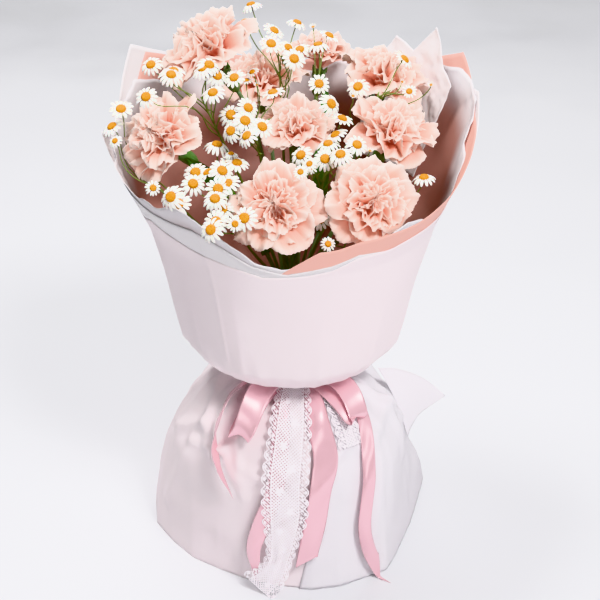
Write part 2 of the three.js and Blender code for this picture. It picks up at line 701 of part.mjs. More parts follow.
/** A sheet of the foot between two azimuths, laid a step outside the foot's profile. */
function footSheet(from, to, step) {
  const columns = [];
  for (let azimuth = from; azimuth <= to; azimuth += COLUMN_ANGLE) {
    const fold = FOOT_PLEAT * (Math.round(azimuth / COLUMN_ANGLE) % 2 ? 1 : -1);
    columns.push(FOOT.map(([radius, height], row) => {
      const before = FOOT[Math.max(row - 1, 0)];
      const after = FOOT[Math.min(row + 1, FOOT.length - 1)];
      const tangent = new THREE.Vector2(after[0] - before[0], before[1] - after[1]).normalize();
      const gather = fold * along([[20, 0], [58, 1], [98, 0.6], [133, 0]], radius);
      const reach = radius * footFactor(azimuth, height) + gather;
      const place = (side) => {
        const off = step + side * PAPER_THICKNESS;
        const level = height === 0 ? 0 : height + off * tangent.x;
        return polar(reach + off * tangent.y, azimuth, level);
      };
      return [place(0.5), place(-0.5)];
    }));
  }
  columns.forEach((column) => column.reverse());
  return sheet(columns, false);
}

/** The corner of the white sheet that stands out at the right, fused to it. */
function skirtFlap() {
  const rows = FLAP.map((row) => row.map(vector));
  return blade(rows, new THREE.Vector3(0.35, -0.55, 0.76).normalize(), PETAL_THICKNESS);
}

// ---------------------------------------------------------------- ribbons

/** The foot's [radius, height] a way down from the waist. */
function footSpot(way) {
  let rest = way;
  for (let i = 2; i < FOOT.length; i += 1) {
    const [start, end] = [new THREE.Vector2(...FOOT[i - 1]), new THREE.Vector2(...FOOT[i])];
    const length = start.distanceTo(end);
    if (rest <= length || i === FOOT.length - 1) return start.lerp(end, rest / length);
    rest -= length;
  }
  return null;
}

/** How far down from the waist each fold of the foot's profile lies. */
function foldWays() {
  let way = 0;
  return FOOT.slice(2).map(([radius, height], i) => {
    way += Math.hypot(radius - FOOT[i + 1][0], height - FOOT[i + 1][1]);
    return way;
  });
}

/** A point over the foot: azimuth, way down from the waist and lift from the white sheet. */
function overFoot([azimuth, way, lift]) {
  const spot = footSpot(way);
  const slope = footSpot(way + 3).sub(footSpot(Math.max(way - 3, 0))).normalize();
  const out = lift + FOOT_LAP + PAPER_THICKNESS / 2;
  return polar(spot.x * footFactor(azimuth, spot.y) - slope.y * out, azimuth, spot.y + slope.x * out);
}

/** Stations with one more wherever the ribbon passes a fold of the foot. */
function withFolds(stations) {
  const full = stations.map((station) => [...station, ...Array(5 - station.length).fill(0)]);
  return full.flatMap((station, i) => {
    if (i === 0) return [station];
    const before = full[i - 1];
    const shares = foldWays()
      .map((way) => (way - before[1]) / (station[1] - before[1]))
      .filter((share) => share > 0.1 && share < 0.9)
      .sort((a, b) => a - b);
    return [...shares, 1].map((share) => before.map((value, k) => mix(value, station[k], share)));
  });
}

/** A flat ribbon through stations [azimuth, way, lift, width, twist in degrees]. */
function ribbon(outline, thickness = PAPER_THICKNESS) {
  const stations = withFolds(outline);
  const middle = stations.map(overFoot);
  const rings = stations.map((station, i) => {
    const [azimuth, , , width, twist] = station;
    const before = middle[Math.max(i - 1, 0)];
    const after = middle[Math.min(i + 1, middle.length - 1)];
    const direction = after.clone().sub(before).normalize();
    const [across] = crossAxes(direction, polar(1, azimuth - 90, 0));
    across.applyAxisAngle(direction, radians(twist));
    const normal = across.clone().cross(direction);
    return [1, -1].map((side) => [0.5, -0.5].map((face) => middle[i].clone()
      .addScaledVector(across, (side * width) / 2)
      .addScaledVector(normal, face * thickness)));
  });
  return sheet([0, 1].map((side) => rings.map((ring) => ring[side])), false);
}

/** A ring round the waist with a closed section of [radius, height]. */
function waistRing(section, segments) {
  const outline = [...section, section[0]].map(([radius, height]) => new THREE.Vector2(radius, height));
  const ring = new THREE.LatheGeometry(outline, segments);
  ring.rotateX(Math.PI / 2);
  return solidOf(ring);
}

/** The knot of the bow, a short curved pad in front of the band. */
function ribbonKnot() {
  const columns = KNOT_AZIMUTHS.map((azimuth) => (
    KNOT_HEIGHTS.map((height) => KNOT_RADII.map((radius) => polar(radius, azimuth, height)))
  ));
  return sheet(columns, false);
}

// ---------------------------------------------------------------- the bunch

const LOOKS = {
  petal: { color: '#efbfae', roughness: 0.75, metalness: 0 },
  stem: { color: '#6f8f4e', roughness: 0.7, metalness: 0 },
  chamomile: { color: '#f4f2ea', roughness: 0.7, metalness: 0 },
  twine: { color: '#b59a6d', roughness: 0.9, metalness: 0 },
  tissue: { color: '#b7a4a6', roughness: 0.8, metalness: 0 },
  peach: { color: '#eca896', roughness: 0.75, metalness: 0 },
  film: { color: '#ece4e6', roughness: 0.45, metalness: 0 },
  outer: { color: '#f0d9df', roughness: 0.7, metalness: 0 },
  white: { color: '#eceaee', roughness: 0.7, metalness: 0 },
  satin: { color: '#eda3b2', roughness: 0.35, metalness: 0 },
  lace: { color: '#efdfe8', roughness: 0.85, metalness: 0 },
};

const bunch = new THREE.Group();

function add(name, look, solid) {
  const mesh = solid.getMesh();
  const geometry = new THREE.BufferGeometry();
  geometry.setAttribute('position', new THREE.BufferAttribute(mesh.vertProperties, 3));
  geometry.setIndex(new THREE.BufferAttribute(mesh.triVerts, 1));
  geometry.computeVertexNormals();
  const node = new THREE.Mesh(geometry, new THREE.MeshStandardMaterial(LOOKS[look]));
  node.name = name;
  bunch.add(node);
}

CARNATIONS.forEach((carnation, i) => {
  add(`carnation_bloom_${i + 1}`, 'petal', carnationBloom(carnation, 11 + i));
  add(`carnation_stem_${i + 1}`, 'stem', carnationStem(carnation));
});
SPRAYS.forEach((spray, i) => add(`chamomile_spray_${i + 1}`, 'chamomile', chamomileSpray(spray, 31 + i)));

add('stem_tie', 'twine', waistRing(TIE_SECTION, 12));
add('wrap_tissue', 'tissue', wrapSheet(TISSUE));
add('wrap_peach', 'peach', wrapSheet(PEACH));
add('wrap_film', 'film', wrapSheet(FILM));
add('wrap_outer', 'outer', wrapSheet(OUTER));
add('wrap_crumpled', 'tissue', crumpledSheet());
add('skirt_left', 'outer', footSheet(108, 306, 0));
add('skirt_right', 'white', footSheet(288, 486, FOOT_LAP).add(skirtFlap()));
add('ribbon_band', 'satin', waistRing(BAND_SECTION, 360 / COLUMN_ANGLE));
add('ribbon_knot', 'satin', ribbonKnot());
Object.entries(RIBBONS).forEach(([name, stations]) => add(name, 'satin', ribbon(stations)));
Object.entries(LACES).forEach(([name, stations]) => add(name, 'lace', ribbon(stations)));
add('lace_knot', 'lace', ribbon(LACE_KNOT, LACE_KNOT_THICKNESS));

export default bunch;
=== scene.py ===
"""A hand-tied bunch of nine carnations with sprays of chamomile, in tissue, film and paper, tied
with a satin bow and a lace ribbon. It stands on its cut stems and on the flared paper foot.

Run as a script it dresses the solid model of the bunch. Lengths are in millimetres, and become
metres where a mesh is written. Only a sheet's thickness is in metres, as its modifier takes it."""

import math
import random

import bpy
import numpy as np
from bpy.props import FloatProperty, FloatVectorProperty, IntProperty, PointerProperty
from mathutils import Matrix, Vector, noise


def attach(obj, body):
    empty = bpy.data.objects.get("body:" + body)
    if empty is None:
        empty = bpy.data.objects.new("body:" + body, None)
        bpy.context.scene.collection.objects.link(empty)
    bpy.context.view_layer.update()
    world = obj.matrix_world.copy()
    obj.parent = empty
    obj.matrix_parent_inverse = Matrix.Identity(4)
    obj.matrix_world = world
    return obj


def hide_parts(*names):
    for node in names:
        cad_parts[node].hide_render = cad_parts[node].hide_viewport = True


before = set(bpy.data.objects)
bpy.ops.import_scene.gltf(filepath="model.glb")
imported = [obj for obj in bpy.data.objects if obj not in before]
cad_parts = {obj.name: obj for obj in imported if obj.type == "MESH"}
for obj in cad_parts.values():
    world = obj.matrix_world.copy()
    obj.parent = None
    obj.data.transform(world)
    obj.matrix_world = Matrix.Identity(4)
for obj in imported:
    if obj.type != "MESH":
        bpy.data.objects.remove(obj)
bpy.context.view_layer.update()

bl_info = {
    "name": "Bunch of carnations",
    "version": (1, 0, 0),
    "blender": (4, 5, 0),
    "location": "View3D > Sidebar > Flowers",
    "description": "Carnations and chamomile in a paper wrap with a satin bow and lace",
    "category": "Add Mesh",
}

# ------------------------------------------------------------------ measures, in millimetres

MM = 0.001

# The blooms: middle, radius, facing, ring and place of the stem at the waist, and the pixel of the
# photograph where the tip of a leaf shows.
CARNATIONS = [
    dict(centre=(-75, 40, 478), radius=41, facing=(-0.5, -0.25, 0.85), ring=2, place=4),
    dict(centre=(-111, -30, 422), radius=36, facing=(-0.55, -0.5, 0.7), ring=2, place=5, leaf=(186, 158)),
    dict(centre=(-28, 95, 432), radius=38, facing=(-0.1, -0.25, 1), ring=2, place=3),
    dict(centre=(4, 0, 420), radius=32, facing=(0, -0.28, 1), ring=0, place=0, leaf=(318, 174)),
    dict(centre=(28, 133, 446), radius=28, facing=(0.1, 0.1, 1), ring=2, place=2),
    dict(centre=(85, 78, 440), radius=37, facing=(0.25, -0.2, 1), ring=2, place=1, leaf=(326, 78)),
    dict(centre=(88, 0, 417), radius=36, facing=(0.35, -0.35, 1), ring=2, place=0),
    dict(centre=(-14, -90, 384), radius=36, facing=(-0.1, -0.85, 0.8), ring=2, place=9),
    dict(centre=(66, -80, 384), radius=36, facing=(0.25, -0.75, 0.8), ring=2, place=11),
]
# Shares of a bloom's radius: its depth over the middle, and what flowers near it keep clear of
# below the middle and round it.
BLOOM_DEPTH = 0.62
BLOOM_UNDER = 0.8
BLOOM_REACH = 1.08

# The sprays: ring and place of the stem at the waist, the lift of the flowers from the canopy, and
# the open flowers, small ones and buds by the pixel where the photograph shows them.
SPRAYS = [
    dict(ring=1, place=3, lift=55, small=[], buds=[],
         heads=[(194, 57), (208, 57), (203, 69), (227, 70), (217, 76), (171, 75), (151, 65),
                (213, 93), (146, 97)]),
    dict(ring=1, place=2, lift=30, small=[], buds=[(277, 50)],
         heads=[(251, 5), (245, 23), (274, 31), (297, 23), (288, 48), (271, 44), (300, 50), (294, 59)]),
    dict(ring=1, place=1, lift=30, small=[], buds=[(313, 27)],
         heads=[(329, 36), (318, 45), (331, 104), (319, 84)]),
    dict(ring=1, place=4, lift=35, small=[(245, 80), (250, 71)], buds=[(257, 85)],
         heads=[(231, 115), (248, 108), (245, 121), (262, 127), (231, 131), (247, 136), (273, 93)]),
    dict(ring=2, place=6, lift=16, small=[(116, 141), (153, 188)], buds=[],
         heads=[(122, 129), (142, 124), (171, 197), (179, 204)]),
    dict(ring=2, place=7, lift=12, small=[(228, 162), (231, 154), (235, 224)], buds=[],
         heads=[(192, 169), (193, 184), (218, 189), (208, 173), (222, 171), (228, 184), (246, 174),
                (217, 145), (215, 199), (222, 209), (216, 222), (211, 230), (245, 218)]),
    dict(ring=1, place=5, lift=12, small=[(310, 167), (304, 171), (297, 177)], buds=[(370, 151)],
         heads=[(315, 137), (335, 135), (342, 119), (369, 140), (325, 159), (344, 160), (301, 155)]),
    dict(ring=1, place=0, lift=20, small=[(406, 99)], buds=[(402, 82), (431, 85), (353, 96)],
         heads=[(395, 67), (359, 88)]),
    dict(ring=2, place=10, lift=-20, small=[(328, 244)], buds=[],
         heads=[(322, 215), (424, 178)]),
]
FLOWER_RADII = dict(heads=11, small=7, buds=3.2)
FLOWER_STEP = 7  # neighbouring flowers of a spray stand this much higher or lower
FORK_DEPTH = 58  # from the middle of a spray's flowers down to the fork of its stem
PEDICEL_ROOM = 3.2  # pedicels keep this far from the blooms
PEDICEL_STEPS = 14
LEAF_LIFT = -14  # the tips of the leaves lie under the canopy
LEAF_THICKNESS = 0.5
LEAF_WIDTH = 15
LEAF_JOINT = 64  # the point of a stem's line that its leaf grows from
CALYX_LENGTH = 27
CALYX_RADIUS = 6.8
JOINTS = dict(first=42, shift=5, step=71, lowest=205, swell=0.55, spread=2.6)  # along a stem

# The bundle: its stems cross in a spiral at the waist, and are straight up to its top.
WAIST_HEIGHT = 186
WAIST_TOP = 240
STEM_PITCH = 4.6  # between the middles of the stems at the waist
SPIRAL_LENGTH = 100  # the rise that carries a stem sideways by its distance from the axis
BUNDLE_TURN = -25  # degrees
STEM_ROOM = 0.1  # stems are this much thinner all round than their solids
CARNATION_STEM = 4.2  # thickness
SPRAY_STEM = 4.0  # thickness
TWINE = dict(turns=5, ring=12.95, low=182.4, rise=7.2, radius=0.78, strand=0.06)

# The view of the photograph, with its focal length, the column of the bunch's axis, its middle
# and its width in pixels.
VIEW = dict(distance=1000, height=810, pitch=29.4, focal=1216, axis=292, middle=300, width=600)
SENSOR = 36  # width of the camera's sensor
CANOPY_HEIGHT = 421  # of the flowers over the axis
CANOPY_SLOPE = 0.3  # their rise towards the back

# Sheets of the wrap: [radius, height] up from the waist, inset from the outermost at the mouth,
# and [azimuth, height] round the rim.
MOUTH = [(130, 340), (150, 385), (166, 417), (181, 460), (192, 500)]
TISSUE = dict(
    profile=[(15, 182), (15, 197.5), (76, 272), (103, 320)], inset=9.5,
    rim=[(5, 404), (13, 434), (20, 440), (40, 446), (90, 415), (135, 425), (150, 433), (170, 412),
         (185, 398), (200, 394), (213, 393), (225, 394), (237, 397), (244, 388), (250, 372), (257, 359),
         (266, 352), (275, 349), (296, 351), (309, 382), (318, 377), (325, 358), (337, 354), (350, 376)])
PEACH = dict(
    profile=[(16.2, 182), (16.2, 196), (81, 256), (107, 306)], inset=6.5,
    rim=[(10, 420), (29, 459), (45, 440), (90, 425), (131, 440), (141, 452), (152, 420), (185, 372),
         (200, 356), (230, 350), (266, 344), (271, 354), (275, 361), (279, 368), (286, 370), (293, 374),
         (308, 376), (316, 377), (327, 382), (342, 387), (350, 395)])
FILM = dict(
    profile=[(17.4, 182), (17.4, 194.8), (80, 207.5), (102, 229), (117, 302)], inset=3.2,
    rim=[(14, 437), (60, 428), (90, 420), (120, 430), (146, 462), (168, 402), (182, 418), (194, 388),
         (213, 382), (225, 380), (237, 380), (247, 366), (256, 351), (268, 344), (284, 351), (293, 360),
         (303, 357), (310, 354), (332, 358), (344, 362), (352, 388)])
OUTER = dict(
    profile=[(18.6, 182), (18.6, 193.6), (86, 203), (105, 224), (120, 298)], inset=0,
    rim=[(10, 372), (60, 420), (120, 424), (170, 372), (200, 356), (213, 368), (228, 358), (245, 348),
         (259, 339), (275, 342), (284, 346), (293, 356), (303, 357), (308, 357), (320, 361), (342, 363)])
CRUMPLED_RIM = [(22.5, 436), (30, 448), (37.5, 478), (45, 452), (52.5, 462), (60, 430)]
CRUMPLED_LOW = 352

# The foot: [radius, height] down from the waist, how far the white sheet lies over the pink one,
# and how much wider than round it is at the sides.
FOOT = [(19.8, 184), (58, 180.3), (78, 176), (98, 158), (111, 132), (120, 108), (128, 56), (133, 0)]
FOOT_LAP = 1.2
FOOT_OVAL = 0.04
FOOT_TUCK = 8  # of paper that goes up under the band
FLOOR_ROOM = 0.3  # paper above the hem keeps this far from the floor

# Ribbons, as [azimuth, way down the foot, lift, width, twist in degrees].
RIBBON_SEAT = 0.9  # a ribbon's middle lies this far over the paper
RIBBON_FLOOR = 0.7  # and this far over the floor
SATIN_KNOT = [(256, 5, 5.6, 4.6, 0), (264, 5, 6.2, 5, 0), (272, 5, 6.4, 5, 0), (280, 5, 6.2, 5, 0),
              (288, 5, 5.6, 4.6, 0)]
SATIN_RUNS = {
    "ribbon_loop_left": [
        (261, 6, 3.4, 8, 0), (256, 28, 3.4, 15, 0), (250, 50, 3.8, 18, 0), (245.5, 72, 4.4, 20, 0),
        (243.5, 86, 7, 19, 0), (244.5, 92, 13, 18, 0), (247.5, 84, 18, 20, 10), (250, 58, 19, 22, 24),
        (254, 32, 12, 19, 14), (261, 6, 5.2, 9, 0)],
    "ribbon_loop_right": [
        (287, 6, 3.4, 8, 0), (292, 26, 3.4, 15, 0), (297, 46, 4, 18, 0), (301, 65, 5, 19, 0),
        (303, 77, 8, 20, 0), (304.5, 81, 12, 20, 0), (305.5, 74, 15.5, 20, -6), (306, 52, 16, 20, -14),
        (300, 27, 10, 17, -8), (290, 6, 5.2, 9, 0)],
    "ribbon_tail_1": [
        (237, 4, 2.4, 6, 0), (229, 33, 2.4, 9, 0), (229, 57, 5, 13, 30), (232, 87, 10, 18, 62),
        (235, 112, 10, 18, 66), (242, 136, 8, 11, 60)],
    "ribbon_tail_2": [
        (256, 4, 1.5, 7, 0), (260, 30, 1.5, 12, 0), (264, 75, 1.5, 16, 0), (263, 130, 1.5, 16, 0),
        (257.5, 170, 2, 16, 8), (254, 200, 2.4, 15, 10), (256, 226, 1.5, 10, 0)],
    "ribbon_tail_3": [
        (282, 4, 2, 7, 0), (285, 30, 2, 14, 0), (284.5, 71, 2, 20, 4), (286, 106, 2.2, 23, 0),
        (282.5, 136, 2.2, 22, -6), (279.5, 170, 1.8, 21, 0), (277, 198, 1.5, 19, 0), (276, 211, 1.5, 18, 0)],
    "ribbon_tail_4": [
        (308, 4, 2, 6, 0), (314, 30, 1.8, 10, 0), (313, 60, 2.6, 11, 12), (309, 98, 4, 12, 26),
        (305.5, 130, 5, 12, 30), (301, 178, 5, 12, 26), (303, 212, 4, 13, 14), (308, 240, 3, 13, 4)],
}
LACE_RUNS = {
    "lace_end": [(298, 18, 1.5, 12, 0), (299.5, 55, 1.8, 22, 0), (300, 102, 2.2, 27, 0)],
    "lace_tail": [
        (272, 6, 7.2, 16, 0), (272, 30, 7.2, 26, 0), (270, 60, 6, 36, 0), (268.5, 90, 5, 41, 0),
        (267, 125, 5, 44, 0), (267, 160, 5, 43, 0), (266, 186, 5, 33, 0), (264.5, 208, 5, 27, 0),
        (261, 228, 4.6, 33, 0), (256, 242, 4, 40, 0)],
    "lace_knot": [(272, 8, 9.6, 30, 0), (274, 20, 13, 36, 0), (277, 33, 15, 24, 0), (279, 46, 14, 6, 0)],
}

# Soft lights: name, place in metres, size in metres and power.
LIGHTS = [("key", (0.75, -1.1, 1.9), 0.5, 43), ("top", (-0.6, 0.3, 2.1), 0.7, 33),
          ("back", (0, 2.6, 3.2), 3.0, 64), ("front", (0.25, -2.0, 0.9), 0.5, 6)]
LIT_POINT = (0, 0, 0.3)
WORLD_STRENGTH = 0.23

# ------------------------------------------------------------------ colours


def linear(code):
    """A linear colour from an sRGB hex value."""
    parts = [int(code[i:i + 2], 16) / 255 for i in (1, 3, 5)]
    return tuple(p / 12.92 if p <= 0.04045 else ((p + 0.055) / 1.055) ** 2.4 for p in parts)


def colour(label, code, note):
    """A colour that the user can change."""
    return FloatVectorProperty(name=label, description=note, subtype="COLOR", size=3, min=0, max=1,
                               default=linear(code))


def length(label, millimetres, note):
    """A length that the user can change."""
    return FloatProperty(name=label, description=note, subtype="DISTANCE", unit="LENGTH", min=0.00005,
                         default=millimetres * MM)


class FlowerSizes(bpy.types.PropertyGroup):
    """Sizes of the petals, rays and stems."""

    petal: length("Petal", 0.35, "Thickness of a carnation petal")
    ray: length("Ray", 0.3, "Thickness of a chamomile ray")
    pedicel: length("Pedicel", 0.6, "Radius of a chamomile pedicel")
    rays: IntProperty(name="Rays", description="Rays of an open chamomile flower", default=14, min=8, max=24)


class WrapSizes(bpy.types.PropertyGroup):
    """Sizes of the papers, the ribbons and the lace."""

    paper: length("Paper", 0.3, "Thickness of a sheet of paper or film")
    crumple: length("Crumple", 2.6, "Depth of the creases in the tissue")
    satin: length("Satin", 0.35, "Thickness of the satin ribbon")
    lace: length("Lace", 0.35, "Thickness of the lace")
    mesh: length("Lace mesh", 2.3, "From hole to hole in the ground of the lace")
    scallop: length("Scallop", 11.0, "From scallop to scallop along the lace")


class BunchColours(bpy.types.PropertyGroup):
    """Colours of the flowers, the papers and the ribbons."""

    # Claw and heart darken the petals towards their feet, partly their own colour and partly painted shade
    # deep in the bloom; the heart colour also tints the petals' painted glow.
    petal_claw: colour("Petal claw", "#d9552f", "Deep orange at the foot of a petal")
    petal_heart: colour("Petal heart", "#ee9a82", "Salmon inside the bloom")
    petal_body: colour("Petal body", "#f4c1ae", "Peach pink of the petal")
    petal_edge: colour("Petal edge", "#fff0e8", "Cream of the petal's edge")
    ray: colour("Ray", "#f1eee8", "White of the chamomile rays")
    disc: colour("Disc", "#dfa014", "Golden yellow of the chamomile disc")
    # Painted shade between the disc's florets.
    disc_shade: colour("Disc shade", "#b86f0a", "Brown yellow between the disc's florets")
    pedicel: colour("Pedicel", "#74883f", "Green of the chamomile pedicels")
    stem: colour("Stem", "#7d9a6c", "Grey green of the carnation stems")
    leaf: colour("Leaf", "#4c8a2c", "Green of the leaves")
    twine: colour("Twine", "#b59a6d", "Jute brown of the twine")
    outer: colour("Outer paper", "#f0e3e6", "Pale pink of the outer sheet")
    # Greyed for the shade on the foot's right side: painted shade in the white paper's colour.
    white: colour("White paper", "#e2dde2", "White of the foot's right side")
    peach: colour("Peach paper", "#f3bbae", "Salmon of the inner sheet")
    tissue: colour("Tissue", "#e6e1e4", "Grey pink of the tissue")
    # Painted shade deep inside the wrap, partly also the peach sheet showing through the tissue.
    lining: colour("Lining", "#a3746a", "Mauve of the tissue where the peach sheet shows through")
    film: colour("Film", "#f3eef0", "White of the frosted film")
    satin: colour("Satin", "#f8c8d2", "Rose pink of the satin ribbon")
    lace: colour("Lace", "#fdf6fb", "Off-white of the lace")
    floor: colour("Floor", "#dadade", "Pale grey of the floor")


# ------------------------------------------------------------------ curves and numbers


def smoothstep(low, high, x):
    """A soft step from 0 at low to 1 at high."""
    share = np.clip((np.asarray(x, float) - low) / (high - low), 0, 1)
    return share * share * (3 - 2 * share)


def between(x, rise, fall):
    """1 between a rise and a fall, each given as its two ends, and 0 beyond them."""
    return smoothstep(*rise, x) * (1 - smoothstep(*fall, x))


def unit(vector):
    """A vector, or each row of an array, at length 1."""
    vector = np.asarray(vector, float)
    return vector / np.linalg.norm(vector, axis=-1, keepdims=True)


def around(pairs, azimuth):
    """The value of (azimuth, value) pairs at azimuths, going all the way round."""
    places, values = np.array(pairs, float).T
    places = np.concatenate([places - 360, places, places + 360])
    return np.interp(np.mod(azimuth, 360), places, np.tile(values, 3))


def smooth_along(places, values, x):
    """A smooth curve through values at rising places, without overshoot."""
    places, values = np.asarray(places, float), np.asarray(values, float)
    steps = np.diff(places)
    slopes = np.diff(values) / steps
    turn = slopes[:-1] * slopes[1:] > 0
    inner = np.where(turn, 2 * slopes[:-1] * slopes[1:] / np.where(turn, slopes[:-1] + slopes[1:], 1), 0)
    tangents = np.concatenate([slopes[:1], inner, slopes[-1:]])
    x = np.clip(x, places[0], places[-1])
    i = np.clip(np.searchsorted(places, x) - 1, 0, len(steps) - 1)
    t = (x - places[i]) / steps[i]
    return ((2 * t**3 - 3 * t**2 + 1) * values[i] + (t**3 - 2 * t**2 + t) * steps[i] * tangents[i]
            + (3 * t**2 - 2 * t**3) * values[i + 1] + (t**3 - t**2) * steps[i] * tangents[i + 1])


def through(points, count):
    """Points along a smooth curve through the given ones, which may hold any number of values."""
    points = np.asarray(points, float)
    padded = np.vstack([2 * points[0] - points[1], points, 2 * points[-1] - points[-2]])
    s = np.linspace(0, len(points) - 1, count)
    i = np.minimum(s.astype(int), len(points) - 2)
    t = (s - i)[:, None]
    a, b, c, d = (padded[i + k] for k in range(4))
    return 0.5 * (2 * b + (c - a) * t + (2 * a - 5 * b + 4 * c - d) * t**2 + (3 * b - a - 3 * c + d) * t**3)


def run_along(points):
    """How far along a line each of its points lies."""
    return np.concatenate([[0], np.cumsum(np.linalg.norm(np.diff(points, axis=0), axis=1))])


def points_at(places, run, line):
    """Points of a line at places along it, where run says how far along each of its points lies."""
    return np.column_stack([np.interp(places, run, values) for values in line.T])


def bezier(points, count):
    """Points along a cubic curve given by its four control points."""
    a, b, c, d = (np.asarray(p, float) for p in points)
    t = np.linspace(0, 1, count)[:, None]
    return a * (1 - t)**3 + 3 * b * t * (1 - t)**2 + 3 * c * t * t * (1 - t) + d * t**3


def polar(radius, azimuth, height):
    """Points from a radius, an azimuth in degrees and a height."""
    angle = np.radians(azimuth)
    return np.stack(np.broadcast_arrays(radius * np.cos(angle), radius * np.sin(angle), height), -1)


def cross_axes(direction, near):
    """Two axes across a unit direction, the first as close to another vector as can be."""
    side = unit(np.asarray(near, float) - np.dot(near, direction) * np.asarray(direction))
    return side, np.cross(direction, side)


def least_axis(direction):
    """The main axis that a direction follows least."""
    axis = np.zeros(3)
    axis[int(np.argmin(np.abs(direction)))] = 1
    return axis


def crease_field(points, cell, seed):
    """Crumpled paper's relief at points: 0 in a crease, about 1 between creases."""
    shift = Vector((seed * 7.3, seed * 3.1, seed * 5.7))
    field = np.empty(len(points))
    for i, p in enumerate(points / cell):
        near = noise.voronoi(Vector(p) + shift)[0]
        field[i] = near[1] - near[0]
    return field


def soft_field(points, cell, seed):
    """A slow, soft relief between about -1 and 1."""
    shift = Vector((seed * 2.9, seed * 6.1, seed * 4.3))
    return np.array([noise.noise(Vector(p) + shift) for p in points / cell]) * 1.6


# ------------------------------------------------------------------ meshes


class Cuttings:
    """Loose pieces of mesh that are gathered into one."""

    def __init__(self):
        self.points, self.faces, self.looks, self.uvs, self.tones = [], [], [], [], []
        self.count = 0

    def add(self, points, faces, look=0, uv=None, tone=0.5):
        """Points, an array of faces with equal corners, the look's place, and UV for each point."""
        points = np.asarray(points, float)
        self.points.append(points)
        self.faces.append(np.asarray(faces) + self.count)
        self.looks.append(look)
        self.uvs.append(np.zeros((len(points), 2)) if uv is None else uv)
        self.tones.append(np.full(len(points), tone))
        self.count += len(points)

    def mesh(self, name):
        """The cuttings as one mesh, in metres, with a surface map and a tone for each point."""
        mesh = bpy.data.meshes.new(name)
        points = np.vstack(self.points) * MM
        sizes = np.concatenate([np.full(len(f), f.shape[1]) for f in self.faces])
        loops = np.concatenate([f.ravel() for f in self.faces])
        mesh.vertices.add(len(points))
        mesh.vertices.foreach_set("co", points.ravel())
        mesh.loops.add(len(loops))
        mesh.loops.foreach_set("vertex_index", loops.astype(np.int32))
        mesh.polygons.add(len(sizes))
        starts = np.concatenate([[0], np.cumsum(sizes)[:-1]])
        mesh.polygons.foreach_set("loop_start", starts.astype(np.int32))
        looks = np.concatenate([np.full(len(f), k) for f, k in zip(self.faces, self.looks)])
        mesh.polygons.foreach_set("material_index", looks.astype(np.int32))
        layer = mesh.uv_layers.new(name="surface")
        layer.data.foreach_set("uv", np.vstack(self.uvs)[loops].ravel())
        set_tones(mesh, np.concatenate(self.tones))
        mesh.update(calc_edges=True)
        mesh.validate()
        return mesh


def set_tones(mesh, values):
    """Gives each point of a mesh a tone, which its material can read."""
    tone = mesh.attributes.new("tone", "FLOAT", "POINT")
    tone.data.foreach_set("value", values)


def ring_faces(rings, sides):
    """Quads between neighbouring rings of points."""
    k = np.arange(sides)
    after = (k + 1) % sides
    return np.vstack([np.stack([low + k, low + after, low + sides + after, low + sides + k], 1)
                      for low in sides * np.arange(rings - 1)])


def slab_places(rows, columns):
    """Places over a grid of points: along from 0 to 1 and across from -1 to 1."""
    grid = np.meshgrid(np.linspace(0, 1, rows), np.linspace(-1, 1, columns), indexing="ij")
    return [places.ravel() for places in grid]


def slab_faces(rows, columns):
    """Quads of a slab over a grid of points: both its sides and the walls round it."""
    count = rows * columns
    i, j = (a.ravel() for a in np.meshgrid(np.arange(rows - 1), np.arange(columns - 1), indexing="ij"))
    a = i * columns + j
    upper = np.stack([a, a + 1, a + columns + 1, a + columns], 1)
    border = np.concatenate([np.arange(columns), np.arange(2 * columns - 1, count, columns),
                             np.arange(count - 2, count - columns - 1, -1),
                             np.arange(count - 2 * columns, 0, -columns)])
    after = np.roll(border, -1)
    walls = np.stack([after, border, border + count, after + count], 1)
    return np.vstack([upper, upper[:, ::-1] + count, walls])


def tube(points, radii, sides=8):
    """Points and faces of a closed tube along a line, with a radius at each point of it."""
    points = np.asarray(points, float)
    radii = np.broadcast_to(radii, len(points))
    directions = unit(np.gradient(points, axis=0))
    side, other = cross_axes(directions[0], least_axis(directions[0]))
    angles = np.linspace(0, 2 * np.pi, sides, endpoint=False)
    rings = []
    for point, direction, radius in zip(points, directions, radii):
        side, other = cross_axes(direction, side)
        rings.append(point + radius * (np.outer(np.cos(angles), side) + np.outer(np.sin(angles), other)))
    count = len(points)
    k = np.arange(sides)
    after = (k + 1) % sides
    vertices = np.vstack(rings + [points[:1], points[-1:]])
    low, high = np.full(sides, count * sides), (count - 1) * sides
    caps = np.vstack([np.stack([low, after, k], 1), np.stack([low + 1, high + k, high + after], 1)])
    return vertices, ring_faces(count, sides), caps


def add_tube(cuttings, points, radii, sides=8, look=0):
    """Adds a tube with its caps to the cuttings."""
    vertices, walls, caps = tube(points, radii, sides)
    run = np.linspace(0, 1, len(points)).repeat(sides)
    uv = np.stack([np.tile(np.arange(sides) / sides, len(points)), run], 1)
    uv = np.vstack([uv, [[0, 0], [0, 1]]])
    start = cuttings.count
    cuttings.add(vertices, walls, look, uv)
    cuttings.faces.append(caps + start)
    cuttings.looks.append(look)


def new_grid(name, columns, rows):
    """A flat grid with its UV map, added as by hand; returns the object and its (u, v) from 0 to 1."""
    bpy.ops.object.select_all(action="DESELECT")
    bpy.ops.mesh.primitive_grid_add(x_subdivisions=columns, y_subdivisions=rows, size=2, calc_uvs=True)
    piece = bpy.context.object
    piece.name = piece.data.name = name
    places = np.empty(len(piece.data.vertices) * 3)
    piece.data.vertices.foreach_get("co", places)
    return piece, (places.reshape(-1, 3)[:, :2] + 1) / 2


def set_points(piece, points):
    """Moves a piece's points, given in millimetres."""
    piece.data.vertices.foreach_set("co", (np.asarray(points) * MM).ravel())
    piece.data.update()


def select_only(piece):
    """Makes a piece the active one, and the only one that is selected."""
    bpy.ops.object.select_all(action="DESELECT")
    piece.select_set(True)
    bpy.context.view_layer.objects.active = piece


